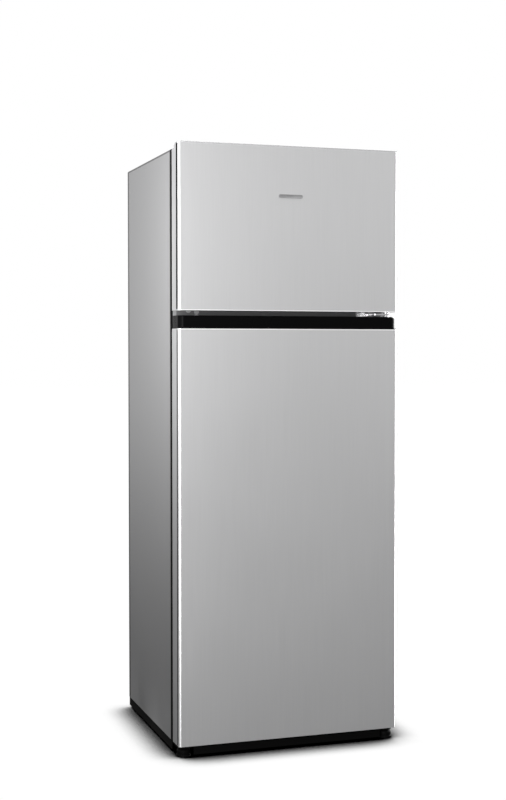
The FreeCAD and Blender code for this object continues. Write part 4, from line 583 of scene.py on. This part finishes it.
# ---- Mesh making ----
class Form:
    """A mesh in the making: operators shape it and one object comes out."""

    def __init__(self) -> None:
        """Start with nothing."""
        self.mesh = bmesh.new()

    def turned(self, outline: list[Span], centre: Vector, axis: Vector,
               steps: int = 48) -> list[bmesh.types.BMFace]:
        """Turn an outline about an axis.

        Args:
            outline: Radius and height of each corner, in millimetres.
            centre: Where height 0 is on the axis.
            axis: The axis.
            steps: Facets to the turn.

        Returns:
            The new faces.
        """
        across = axis.orthogonal().normalized()
        verts = [self.mesh.verts.new(centre + across * (r * MM) + axis * (z * MM))
                 for r, z in outline]
        links = [self.mesh.edges.new(pair) for pair in zip(verts, verts[1:])]
        known = set(self.mesh.faces)
        bmesh.ops.spin(self.mesh, geom=verts + links, cent=centre, axis=axis,
                       angle=math.tau, steps=steps, use_merge=True)
        bmesh.ops.remove_doubles(self.mesh, verts=self.mesh.verts[:], dist=1e-6)
        made = [f for f in self.mesh.faces if f not in known]
        bmesh.ops.recalc_face_normals(self.mesh, faces=made)
        return made

    def block(self, low: Vector, high: Vector) -> list[bmesh.types.BMFace]:
        """A box between two corners, as its faces."""
        made = bmesh.ops.create_cube(self.mesh, size=1.0)
        size = high - low
        bmesh.ops.scale(self.mesh, verts=made["verts"], vec=size)
        bmesh.ops.translate(self.mesh, verts=made["verts"], vec=(low + high) / 2)
        return list({f for v in made["verts"] for f in v.link_faces})

    def ring(self, half_x: float, half_z: float, corner: float, centre: Vector,
             outline: list[Span]) -> None:
        """Sweep a closed outline round an upright rounded rectangle.

        Args:
            half_x: Half the rectangle's width.
            half_z: Half its height.
            corner: Its corners' radius.
            centre: Its middle.
            outline: Inset and depth of each corner of the outline, in millimetres.
        """
        base = bmesh.ops.create_grid(self.mesh, x_segments=1, y_segments=1, size=1.0)["verts"]
        bmesh.ops.rotate(self.mesh, verts=base, matrix=Matrix.Rotation(math.pi / 2, 3, "X"))
        bmesh.ops.scale(self.mesh, verts=base, vec=(half_x, 1.0, half_z))
        self.bevel(base, corner, 5, "VERTICES")
        face = max(self.mesh.faces, key=lambda f: f.calc_area())
        loops = []
        for inset, depth in outline:
            copy = bmesh.ops.duplicate(self.mesh, geom=[face])["geom"]
            verts = [g for g in copy if isinstance(g, bmesh.types.BMVert)]
            factor = ((half_x - inset * MM) / half_x, 1.0, (half_z - inset * MM) / half_z)
            bmesh.ops.scale(self.mesh, verts=verts, vec=factor)
            bmesh.ops.translate(self.mesh, verts=verts, vec=centre + Vector((0, depth * MM, 0)))
            flat = [g for g in copy if isinstance(g, bmesh.types.BMFace)]
            loops.append([g for g in copy if isinstance(g, bmesh.types.BMEdge)])
            bmesh.ops.delete(self.mesh, geom=flat, context="FACES_ONLY")
        bmesh.ops.delete(self.mesh, geom=[face], context="FACES")
        for first, second in zip(loops, loops[1:] + loops[:1]):
            bmesh.ops.bridge_loops(self.mesh, edges=first + second)
        bmesh.ops.recalc_face_normals(self.mesh, faces=self.mesh.faces[:])

    def bevel(self, parts: list, width: float, segments: int, affect: str = "EDGES",
              clamp: bool = False) -> None:
        """Round chosen edges or corners.

        Args:
            parts: The edges, or the vertices.
            width: The rounding's width, in metres.
            segments: Facets across the rounding.
            affect: EDGES or VERTICES.
            clamp: True to stop roundings from running into each other.
        """
        bmesh.ops.bevel(self.mesh, geom=parts, offset=width, offset_type="OFFSET",
                        segments=segments, profile=0.5, affect=affect, material=-1,
                        clamp_overlap=clamp)

    def soften(self, width: float, degrees: float = 35.0) -> None:
        """Round the sharp edges.

        Args:
            width: The rounding's width, in metres.
            degrees: How sharp an edge has to be.
        """
        limit = math.radians(degrees)
        sharp = [e for e in self.mesh.edges if len(e.link_faces) == 2
                 and e.calc_face_angle(0.0) > limit]
        self.bevel(sharp, width, 2, clamp=True)

    def swing(self, faces: list[bmesh.types.BMFace], turn: Matrix, centre: Vector) -> None:
        """Turn faces about the origin, then carry them to a centre."""
        verts = list({v for f in faces for v in f.verts})
        bmesh.ops.rotate(self.mesh, verts=verts, matrix=turn)
        bmesh.ops.translate(self.mesh, verts=verts, vec=centre)

    def done(self, name: str, material: bpy.types.Material,
             degrees: float = 32.0) -> bpy.types.Object:
        """Make the object.

        Args:
            name: Its name.
            material: Its material.
            degrees: Edges sharper than this stay crisp.

        Returns:
            The object, at the origin.
        """
        for face in self.mesh.faces:
            face.smooth = True
        data = bpy.data.meshes.new(name)
        self.mesh.to_mesh(data)
        self.mesh.free()
        data.set_sharp_from_angle(angle=math.radians(degrees))
        data.materials.append(material)
        piece = bpy.data.objects.new(name, data)
        bpy.context.scene.collection.objects.link(piece)
        LOG.info("%s: %d faces", name, len(data.polygons))
        return piece


def fit(piece: bpy.types.Object, body: str, slot: str, *nodes: str) -> None:
    """Put a piece on its body and hide the CAD nodes that it stands for."""
    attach(piece, body)
    if nodes:
        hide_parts(*nodes)


def point(node: str, x: float, y: float, z: float) -> Vector:
    """The point of a CAD node's box that lies these shares of the way along its sides."""
    low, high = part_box(node)
    return Vector([a * (1 - s) + b * s for a, b, s in zip(low, high, (x, y, z))])


def every_second(across: float, up: float, steps: int) -> bool:
    """Whether a facet that lies this way from its axis is one of every second."""
    return round(math.atan2(up, across) / math.tau * steps - 0.5) % 2 == 0


# ---- Sub-assemblies ----
@dataclass
class DoorSeal:
    """Magnetic seal of one door: a dart strip, a folded bellows and the magnet's pocket."""

    door: str
    corner: float = 6 * MM
    outline: list[Span] = field(default_factory=lambda: [
        (3.0, 0.0), (3.0, 2.4), (2.4, 3.2), (5.8, 4.2), (3.6, 5.6), (6.0, 7.0), (1.6, 7.6),
        (0.3, 8.6), (0.0, 10.2), (0.2, 11.6), (1.2, 12.4), (10.0, 12.5), (18.8, 12.4),
        (19.8, 11.6), (20.0, 10.2), (19.6, 8.8), (17.0, 7.6), (13.2, 7.0), (15.6, 5.6),
        (13.4, 4.2), (16.0, 3.2), (16.0, 0.0)])

    def build(self, material: bpy.types.Material) -> None:
        """Sweep the outline round the door's back."""
        node = f"{self.door}_gasket"
        low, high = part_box(node)
        form = Form()
        form.ring((high.x - low.x) / 2, (high.z - low.z) / 2, self.corner,
                  point(node, 0.5, 0.0, 0.5), self.outline)
        fit(form.done(f"{self.door}_seal", material, 50.0), self.door, "seal_rubber", node)


@dataclass
class EdgeStrip:
    """Dark strips over the grooves down both sides of a door's sheet: painted shade of the
    grooves.
    """

    door: str
    start: float
    width: float
    proud: float = 0.25 * MM
    sunk: float = 0.4 * MM
    rounding: float = 0.12 * MM
    short: float = 2 * MM
    hinge_clear: float = 16 * MM

    def build(self, material: bpy.types.Material) -> None:
        """Lay a thin rounded strip over each groove, clear of the hinge at the right."""
        low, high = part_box(f"{self.door}_skin")
        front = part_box("fridge_door_skin")[0].y + self.start
        form = Form()
        for side, edge in ((-1, low.x), (1, high.x)):
            across = sorted((edge - side * self.sunk, edge + side * self.proud))
            top = high.z - (self.hinge_clear if side > 0 else self.short)
            form.block(Vector((across[0], front, low.z + self.short)),
                       Vector((across[1], front + self.width, top)))
        form.soften(self.rounding)
        fit(form.done(f"{self.door}_groove_shade_strips", material), self.door, "black_rubber")


@dataclass
class LevellingFoot:
    """Moulded foot that is turned by hand on its stud."""

    side: str
    flutes: int = 24
    bore: float = 4.2
    flute_margin: float = 0.3 * MM
    flute_depth: float = 0.6 * MM

    def build(self, material: bpy.types.Material) -> None:
        """Turn the foot and press flutes into its waist."""
        node = f"levelling_foot_{self.side}"
        low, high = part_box(node)
        radius = (high.x - low.x) / 2 / MM
        height = (high.z - low.z) / MM
        base = point(node, 0.5, 0.5, 0.0)
        waist_low, waist_high = 5.6, height - 6.0
        outline = [(0.0, 3.0), (self.bore, 3.0), (self.bore, height - 1.2),
                   (self.bore + 2.4, height), (radius - 6.5, height), (radius - 3.4, height - 1.3),
                   (radius - 1.6, height - 3.6), (radius - 1.0, waist_high),
                   (radius - 1.0, waist_low), (radius - 0.2, 4.6), (radius, 3.8),
                   (radius, 1.2), (radius - 1.2, 0.0), (0.0, 0.0)]
        form = Form()
        steps = 2 * self.flutes
        made = form.turned(outline, base, Vector((0, 0, 1)), steps)
        waist = []
        for face in made:
            spot = face.calc_center_median() - base
            outer = math.hypot(spot.x, spot.y) > (radius - 2) * MM
            level = waist_low * MM < spot.z < waist_high * MM
            if outer and level and every_second(spot.x, spot.y, steps):
                waist.append(face)
        bmesh.ops.inset_individual(form.mesh, faces=waist, thickness=self.flute_margin,
                                   depth=-self.flute_depth)
        fit(form.done(f"foot_{self.side}", material), node, "black_matte", node)


@dataclass
class RearRoller:
    """Moulded roller with a dished hub and two grooves round its tread."""

    side: str
    axle: float = 3.1
    grooves: Span = (-0.3, 0.3)
    groove_depth: float = 0.9

    def build(self, material: bpy.types.Material) -> None:
        """Turn the roller about its axle."""
        node = f"rear_roller_{self.side}"
        low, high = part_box(node)
        radius = (high.z - low.z) / 2 / MM
        half = (high.x - low.x) / 2 / MM
        centre = (low + high) / 2
        outline = [(self.axle, -half), (self.axle + 2.4, -half), (self.axle + 3.0, -half + 2.0),
                   (radius - 3.0, -half + 2.0), (radius - 2.4, -half), (radius - 1.0, -half),
                   (radius, -half + 1.0)]
        bottom = radius - self.groove_depth
        for groove in self.grooves:
            middle_x = groove * half
            outline += [(radius, middle_x - 1.0), (bottom, middle_x - 0.5),
                        (bottom, middle_x + 0.5), (radius, middle_x + 1.0)]
        outline += [(r, -x) for r, x in reversed(outline[:7])]
        form = Form()
        form.turned(outline + outline[:1], centre, Vector((1, 0, 0)), 40)
        fit(form.done(f"roller_{self.side}", material), node, "black_matte", node)


@dataclass
class Compressor:
    """Hermetic shell: a deep cup and a domed lid, lapped and welded, on a pressed foot."""

    lap: float = 3.6
    lip: float = 6.0
    foot_sheet: float = 3.0
    foot_corner: float = 10 * MM
    foot_reach: float = 24.0
    weld_share: float = 0.55
    dome_steps: int = 9

    def build(self, material: bpy.types.Material) -> None:
        """Turn the shell, press its foot and join them."""
        low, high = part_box("compressor")
        centre = point("compressor", 0.5, 0.5, 0.0)
        width = (high.x - low.x) / MM
        radius = (high.y - low.y) / 2 / MM - self.lap - 0.4
        radius = min(radius, width / 2 - self.foot_reach)
        height = (high.z - low.z) / MM
        weld = self.weld_share * height
        form = Form()
        dome = height - weld - self.lip
        arc = [math.pi / 2 * i / self.dome_steps for i in range(self.dome_steps + 1)]
        cup = [(0.0, self.foot_sheet + 1.0), (radius - 16, self.foot_sheet + 1.0),
               (radius - 5, self.foot_sheet + 5.0), (radius, self.foot_sheet + 16.0),
               (radius, weld - 1.0), (radius + self.lap, weld),
               (radius + self.lap, weld + self.lip - 1.5), (radius + 1.0, weld + self.lip)]
        lid = [(radius * math.cos(t) ** 0.72, weld + self.lip + dome * math.sin(t) ** 0.9)
               for t in arc[:-1]] + [(0.0, height)]
        form.turned(cup + lid, centre, Vector((0, 0, 1)), 64)
        top = low.z + self.foot_sheet * MM
        plate = form.block(low, Vector((high.x, high.y, top)))
        known = {e for f in plate for e in f.edges}
        upright = [e for e in known if abs(e.verts[0].co.z - e.verts[1].co.z) > 1 * MM]
        form.bevel(upright, self.foot_corner, 5)
        fit(form.done("compressor_shell", material), "cabinet", "black_steel", "compressor")


@dataclass
class ThermostatKnob:
    """Turning knob with a fluted skirt, a grip bar and a pointer."""

    flutes: int = 30
    skirt: float = 4.0
    bar_half: float = 3.0
    bar_edge: float = 1.0 * MM
    pointer: Span = (0.35, 0.92)
    start: float = math.radians(210)

    def build(self, material: bpy.types.Material, mark: bpy.types.Material) -> None:
        """Turn the skirt, raise the bar and inlay the pointer.

        Args:
            material: The knob's finish.
            mark: The pointer's finish.
        """
        low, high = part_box("thermostat_knob")
        centre = point("thermostat_knob", 0.5, 1.0, 0.5)
        radius = (high.z - low.z) / 2 / MM
        deep = (high.y - low.y) / MM
        out = Vector((0, -1, 0))
        form = Form()
        outline = [(0.0, 0.0), (radius, 0.0), (radius, 1.2), (radius - 0.8, self.skirt - 0.8),
                   (radius - 1.8, self.skirt), (0.0, self.skirt + 0.4)]
        made = form.turned(outline, centre, out, 2 * self.flutes)
        rim = []
        for face in made:
            spot = face.calc_center_median() - centre
            outer = math.hypot(spot.x, spot.z) > (radius - 1.0) * MM and -spot.y > 1.2 * MM
            if outer and every_second(spot.x, spot.z, 2 * self.flutes):
                rim.append(face)
        bmesh.ops.inset_individual(form.mesh, faces=rim, thickness=0.15 * MM, depth=-0.4 * MM)
        long = (radius - 1.6) * MM
        bar = form.block(Vector((-long, -deep * MM, -self.bar_half * MM)),
                         Vector((long, -2.0 * MM, self.bar_half * MM)))
        turn = Matrix.Rotation(-self.start, 3, "Y")
        form.swing(bar, turn, centre)
        form.bevel(list({e for f in bar for e in f.edges}), self.bar_edge, 3)
        knob = form.done("knob", material)
        fit(knob, "thermostat_knob", "white_plastic", "thermostat_knob")
        line = Form()
        inner, outer = (long * share for share in self.pointer)
        print_faces = line.block(Vector((inner, -deep * MM - 0.1 * MM, -0.5 * MM)),
                                 Vector((outer, -deep * MM + 0.4 * MM, 0.5 * MM)))
        line.swing(print_faces, turn, centre)
        line.soften(0.15 * MM)
        fit(line.done("knob_pointer", mark), "thermostat_knob", "black_matte")


@dataclass
class ThermostatDial:
    """Numbers round the knob, printed on the housing."""

    numbers: int = 7
    sweep: float = math.radians(240)
    start: float = math.radians(210)
    reach: float = 18.4 * MM
    size: float = 3.6 * MM
    print_depth: float = 0.08 * MM

    def build(self, material: bpy.types.Material) -> None:
        """Set the numbers out on an arc."""
        centre = point("thermostat_knob", 0.5, 0.5, 0.5)
        centre.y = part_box("control_housing")[0].y
        form = Form()
        for i in range(self.numbers):
            turn = self.start - self.sweep * i / (self.numbers - 1)
            spot = centre + Vector((math.cos(turn), 0, math.sin(turn))) * self.reach
            self._number(form, str(i), spot)
        fit(form.done("dial_numbers", material), "cabinet", "black_matte")

    def _number(self, form: Form, text: str, spot: Vector) -> None:
        """Add one number.

        Args:
            form: The mesh that it goes into.
            text: The number.
            spot: Its middle.
        """
        curve = bpy.data.curves.new("number", "FONT")
        curve.body, curve.size, curve.extrude = text, self.size, self.print_depth
        curve.align_x, curve.align_y = "CENTER", "CENTER"
        glyph = bpy.data.objects.new("number", curve)
        bpy.context.scene.collection.objects.link(glyph)
        bpy.context.view_layer.update()
        solid = bpy.data.meshes.new_from_object(glyph)
        solid.transform(Matrix.Translation(spot) @ Matrix.Rotation(math.pi / 2, 4, "X"))
        form.mesh.from_mesh(solid)
        bpy.data.objects.remove(glyph)
        bpy.data.meshes.remove(solid)


@dataclass
class DoorBadge:
    """Blank nameplate: a pill of satin metal with a sunk field."""

    margin: float = 0.35 * MM
    rim: float = 0.9 * MM
    sunk: float = 0.25 * MM
    corner_share: float = 0.48

    def build(self, material: bpy.types.Material) -> None:
        """Round the plate and sink its field."""
        low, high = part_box("door_badge")
        form = Form()
        plate = form.block(low, high)
        ends = [e for e in {e for f in plate for e in f.edges}
                if abs(e.verts[0].co.y - e.verts[1].co.y) > 0.5 * MM]
        form.bevel(ends, (high.z - low.z) * self.corner_share, 6)
        front = min(form.mesh.faces, key=lambda f: f.calc_center_median().y)
        for inset, depth in ((self.margin, 0.0), (self.rim, 0.0), (self.sunk, -self.sunk)):
            bmesh.ops.inset_region(form.mesh, faces=[front], thickness=inset, depth=depth)
        form.soften(0.12 * MM, 60.0)
        fit(form.done("nameplate", material), "freezer_door", "badge_metal", "door_badge")


# ---- Finishes of every piece ----
DOOR_COLOUR = (0.60, 0.60, 0.605)
SIDE_COLOUR = (0.44, 0.44, 0.445)
FREEZER_SHEET = Inox("freezer_door_inox", DOOR_COLOUR, 0.40, "freezer_door_skin")
FRIDGE_SHEET = Inox("fridge_door_inox", DOOR_COLOUR, 0.40, "fridge_door_skin", meets_above=True)
CABINET_PAINT = SatinPaint("cabinet_silver_paint", SIDE_COLOUR, 0.36, metallic=0.75,
                           sheet="outer_wrapper")
# Mid rail paint made dark grey, well darker than the cabinet: painted shade of the gap between the
# doors.
MID_RAIL_GAP_SHADE_PAINT = SatinPaint("mid_rail_dark_grey_gap_shade", (0.15, 0.15, 0.152), 0.45, metallic=0.4)
BLACK_PAINT = SatinPaint("black_powder_coat", (0.002, 0.002, 0.002), 0.6, peel=0.12 * MM,
                         specular=0.05)
BLACK_ENAMEL = Enamel("black_dipped_enamel", (0.012, 0.012, 0.013), 0.3)
BACK_SHEET = Spangled("galvanised_sheet", (0.5, 0.51, 0.52), 0.42)
CAP_BLACK = Moulding("handle_gloss_black", (0.0012, 0.0012, 0.0013), 0.3, texture=300.0,
                     depth=0.008 * MM, specular=0.04, scuffed="fridge_door_handle_cap")
BASE_BLACK = Moulding("base_grained_black", (0.0015, 0.0015, 0.0015), 0.6, depth=0.06 * MM,
                      specular=0.05)
# Near black and dark grey for the strips in the door grooves: painted shade of the grooves.
FREEZER_GROOVE_SHADE = Rubber("freezer_groove_painted_shade", (0.0015, 0.0015, 0.0015), 0.8, specular=0.05)
FRIDGE_GROOVE_SHADE = Rubber("fridge_groove_painted_shade", (0.025, 0.025, 0.026), 0.8, specular=0.1)
CAP_GREY = Moulding("cap_silver_grey", (0.30, 0.30, 0.305), 0.45)
PLUG_GREY = Moulding("plug_silver_grey", (0.38, 0.38, 0.385), 0.5)
LINER_WHITE = Moulding("liner_white", (0.60, 0.61, 0.61), 0.32, texture=450.0,
                       depth=0.02 * MM, coat=0.2)
TRIM_WHITE = Moulding("trim_white", (0.62, 0.63, 0.63), 0.38, coat=0.1)
PRINT_BLACK = Moulding("dial_print", (0.03, 0.03, 0.032), 0.5)
BIN_CLEAR = ClearMoulding("bin_clear_plastic", (0.86, 0.91, 0.93), 0.08, opacity=0.16)
DRAWER_CLEAR = ClearMoulding("drawer_clear_plastic", (0.84, 0.90, 0.92), 0.12, opacity=0.22)
LENS_CLEAR = ClearMoulding("lens_ribbed_plastic", (0.93, 0.93, 0.91), 0.28, opacity=0.5,
                           ribs=60.0)
BULB_MILKY = ClearMoulding("bulb_milk_glass", (0.95, 0.94, 0.9), 0.2, opacity=0.8)
SHELF_PANE = FloatGlass("shelf_float_glass", (0.85, 0.93, 0.91), 0.04)
SEAL_BLACK = Rubber("seal_black", (0.006, 0.006, 0.006), 0.8)
RUBBER_BLACK = Rubber("grommet_black", (0.02, 0.02, 0.02), 0.7)
ZINC = Plated("bright_zinc", (0.72, 0.72, 0.73), 0.26, amount=0.35)
COPPER = Plated("drawn_copper", (0.78, 0.42, 0.28), 0.24, tarnish=(0.25, 0.13, 0.08), amount=0.6)
ALUMINIUM = Plated("roll_bonded_aluminium", (0.76, 0.77, 0.78), 0.34, tarnish=(0.5, 0.5, 0.5))
BADGE = Plated("nameplate_satin", (0.36, 0.36, 0.365), 0.36, tarnish=(0.3, 0.3, 0.3),
               amount=0.3, lines=(40.0, 700.0, 700.0))
CORE_FOAM = Foam("core_foam", (0.83, 0.74, 0.5), 0.85)

DRESSED: dict[Finish, tuple[str, ...]] = {
    FREEZER_SHEET: ("freezer_door_skin",),
    FRIDGE_SHEET: ("fridge_door_skin",),
    CABINET_PAINT: ("outer_wrapper",),
    MID_RAIL_GAP_SHADE_PAINT: ("mid_rail",),
    BLACK_PAINT: ("base_frame", "compressor_plate", "bottom_hinge", "foot_bracket"),
    BLACK_ENAMEL: ("condenser_coil", "condenser_wires", "compressor"),
    BACK_SHEET: ("back_panel", "base_pan"),
    CAP_BLACK: ("fridge_door_handle_cap", "freezer_door_bottom_cap"),
    BASE_BLACK: ("kick_plate", "terminal_cover", "drip_tray", "condenser_spacers",
                 "levelling_foot_left", "levelling_foot_right", "rear_roller_left",
                 "rear_roller_right"),
    CAP_GREY: ("freezer_door_top_cap", "fridge_door_bottom_cap", "top_hinge_cover"),
    PLUG_GREY: ("blanking_plugs", "thermostat"),
    LINER_WHITE: ("fridge_liner", "freezer_liner", "fridge_door_liner", "freezer_door_liner"),
    TRIM_WHITE: ("shelf_trims", "control_housing", "thermostat_knob", "light_switch_plunger",
                 "ice_cube_tray", "drain_tube"),
    BIN_CLEAR: ("fridge_door_bins", "freezer_door_bins", "egg_tray"),
    DRAWER_CLEAR: ("crisper_drawer",),
    LENS_CLEAR: ("lamp_lens",),
    BULB_MILKY: ("lamp_bulb",),
    SHELF_PANE: ("shelf_glass",),
    SEAL_BLACK: ("fridge_door_gasket", "freezer_door_gasket"),
    RUBBER_BLACK: ("compressor_grommets", "cord_gland"),
    ZINC: ("middle_hinge", "top_hinge", "hinge_screws", "compressor_bolts"),
    COPPER: ("refrigerant_tubes", "filter_drier"),
    ALUMINIUM: ("evaporator_plates",),
    BADGE: ("door_badge",),
    CORE_FOAM: ("cabinet_foam", "fridge_door_foam", "freezer_door_foam"),
}


def dress_nodes() -> dict[Finish, bpy.types.Material]:
    """Give every CAD node its finish.

    Returns:
        The material made for each finish.
    """
    finishes = [*DRESSED, PRINT_BLACK, FREEZER_GROOVE_SHADE, FRIDGE_GROOVE_SHADE]
    materials = {finish: finish.material() for finish in finishes}
    left = set(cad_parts)
    for finish, names in DRESSED.items():
        for name in names:
            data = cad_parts[name].data
            if not data.materials:
                data.materials.append(materials[finish])
            for slot in range(len(data.materials)):
                data.materials[slot] = materials[finish]
            left.discard(name)
    LOG.info("%d finishes, nodes without one: %s", len(materials), sorted(left))
    return materials


# ---- Studio ----
@dataclass
class Lamp:
    """A soft box that is aimed at a point."""

    name: str
    place: Triple
    aim: Triple
    width: float
    height: float
    watts: float
    matte: bool = True
    glossy: bool = True

    def light(self) -> None:
        """Hang the soft box."""
        data = bpy.data.lights.new(self.name, "AREA")
        data.shape = "RECTANGLE"
        data.size = self.width
        data.size_y = self.height
        data.energy = self.watts
        lamp = bpy.data.objects.new(self.name, data)
        lamp.location = self.place
        look = Vector(self.aim) - Vector(self.place)
        lamp.rotation_euler = look.to_track_quat("-Z", "Y").to_euler()
        lamp.visible_camera = False
        lamp.visible_diffuse = self.matte
        lamp.visible_glossy = self.glossy
        bpy.context.scene.collection.objects.link(lamp)


@dataclass
class Studio:
    """White floor, light surroundings that darken below the horizon, and soft boxes."""

    floor_half: float = 30.0
    above: float = 0.67
    below: float = 0.0
    horizon: Span = (-0.22, 0.02)
    contact: float = 0.11
    shadow: Span = (0.48, 0.95)
    lamps: list[Lamp] = field(default_factory=lambda: [
        Lamp("front_box", (-1.4, -2.6, 0.6), (-0.1, -0.27, 0.6), 1.0, 1.0, 56.0),
        Lamp("top_box", (-0.2, -0.6, 3.6), (0.0, 0.0, 0.7), 2.4, 2.4, 124.0),
        Lamp("rim_box", (2.4, -1.5, 1.4), (0.27, -0.25, 0.9), 0.5, 2.0, 19.0),
        Lamp("side_box", (-0.66, -0.42, 1.2), (-0.275, -0.08, 1.15), 0.3, 0.6, 7.2,
             glossy=False),
        Lamp("left_strip", (-1.9, -0.8, 0.9), (-0.27, -0.27, 0.8), 0.2, 2.2, 5.0,
             matte=False),
        Lamp("right_strip", (1.9, 0.35, 0.8), (0.27, -0.27, 0.8), 0.4, 2.2, 75.0,
             matte=False),
    ])

    def build(self) -> None:
        """Lay the floor, light the surroundings and hang the lamps."""
        self._floor()
        self._surroundings()
        for lamp in self.lamps:
            lamp.light()

    def _floor(self) -> None:
        """A wide floor that is white by itself, with a contact shadow painted where something
        stands close.

        It throws no light on the object and shows in no reflection.
        """
        form = Form()
        bmesh.ops.create_grid(form.mesh, x_segments=4, y_segments=4, size=self.floor_half)
        graph = Graph("studio_floor")
        haze = graph.noise(1.2, 2.0)
        # Ambient occlusion darkens the floor's glow: a painted contact shadow.
        near = graph.node("ShaderNodeAmbientOcclusion", {"samples": 16},
                          {"Distance": self.contact})
        open_sky = Value(graph, near.outputs["AO"]).ramp(*self.shadow)
        pale = graph.blend(haze, (1.0, 1.0, 1.0), (1.02, 1.02, 1.02))
        graph.set(base_color=(0.0, 0.0, 0.0, 1.0), roughness=haze * 0.05 + 0.9, specular=0.0,
                  emission_color=graph.blend(open_sky, (0.0, 0.0, 0.0), pale),
                  emission_strength=1.0)
        floor = form.done("studio_floor", graph.material)
        floor.visible_diffuse = False
        floor.visible_glossy = False

    def _surroundings(self) -> None:
        """Light above the horizon and dark below it, but plain white to the camera."""
        world = bpy.data.worlds.new("studio")
        bpy.context.scene.world = world
        world.use_nodes = True
        tree = world.node_tree
        back = next(n for n in tree.nodes if n.type == "BACKGROUND")
        place = tree.nodes.new("ShaderNodeTexCoord")
        split = tree.nodes.new("ShaderNodeSeparateXYZ")
        step = tree.nodes.new("ShaderNodeMapRange")
        step.interpolation_type = "SMOOTHSTEP"
        names = ("From Min", "From Max", "To Min", "To Max")
        for name, value in zip(names, (*self.horizon, self.below, self.above)):
            step.inputs[name].default_value = value
        tree.links.new(place.outputs["Generated"], split.inputs[0])
        tree.links.new(split.outputs["Z"], step.inputs["Value"])
        seen = tree.nodes.new("ShaderNodeLightPath")
        pick = tree.nodes.new("ShaderNodeMix")
        pick.inputs[3].default_value = 1.0
        tree.links.new(seen.outputs["Is Camera Ray"], pick.inputs[0])
        tree.links.new(step.outputs[0], pick.inputs[2])
        tree.links.new(pick.outputs[0], back.inputs["Strength"])
        back.inputs["Color"].default_value = (1.0, 1.0, 1.0, 1.0)


@dataclass
class Viewpoint:
    """The camera: where it stands, where it looks and its lens."""

    place: Triple = (-1.1155, -3.3502, 0.9556)
    turned: float = math.radians(18.35)
    down: float = math.radians(2.10)
    lens: float = 62.21

    def set_up(self) -> None:
        """Make it the scene's camera."""
        data = bpy.data.cameras.new("viewpoint")
        data.lens = self.lens
        data.sensor_width = 36.0
        data.sensor_fit = "AUTO"
        camera = bpy.data.objects.new("viewpoint", data)
        camera.location = self.place
        camera.rotation_euler = (math.pi / 2 - self.down, 0.0, -self.turned)
        bpy.context.scene.collection.objects.link(camera)
        bpy.context.scene.camera = camera


def main() -> None:
    """Set the view, dress the frame, build the finer pieces and light them."""
    logging.basicConfig(level=logging.INFO, format="%(name)s: %(message)s")
    Viewpoint().set_up()
    materials = dress_nodes()
    for door in ("freezer_door", "fridge_door"):
        DoorSeal(door).build(materials[SEAL_BLACK])
    # Dark strips in the door grooves: painted shade of the grooves.
    EdgeStrip("freezer_door", 5.5 * MM, 13 * MM).build(materials[FREEZER_GROOVE_SHADE])
    EdgeStrip("fridge_door", 6.5 * MM, 8 * MM).build(materials[FRIDGE_GROOVE_SHADE])
    for side in ("left", "right"):
        LevellingFoot(side).build(materials[BASE_BLACK])
        RearRoller(side).build(materials[BASE_BLACK])
    Compressor().build(materials[BLACK_ENAMEL])
    ThermostatKnob().build(materials[TRIM_WHITE], materials[PRINT_BLACK])
    ThermostatDial().build(materials[PRINT_BLACK])
    DoorBadge().build(materials[BADGE])
    Studio().build()
    bpy.context.scene.view_settings.view_transform = "Standard"


if __name__ == "__main__":
    main()
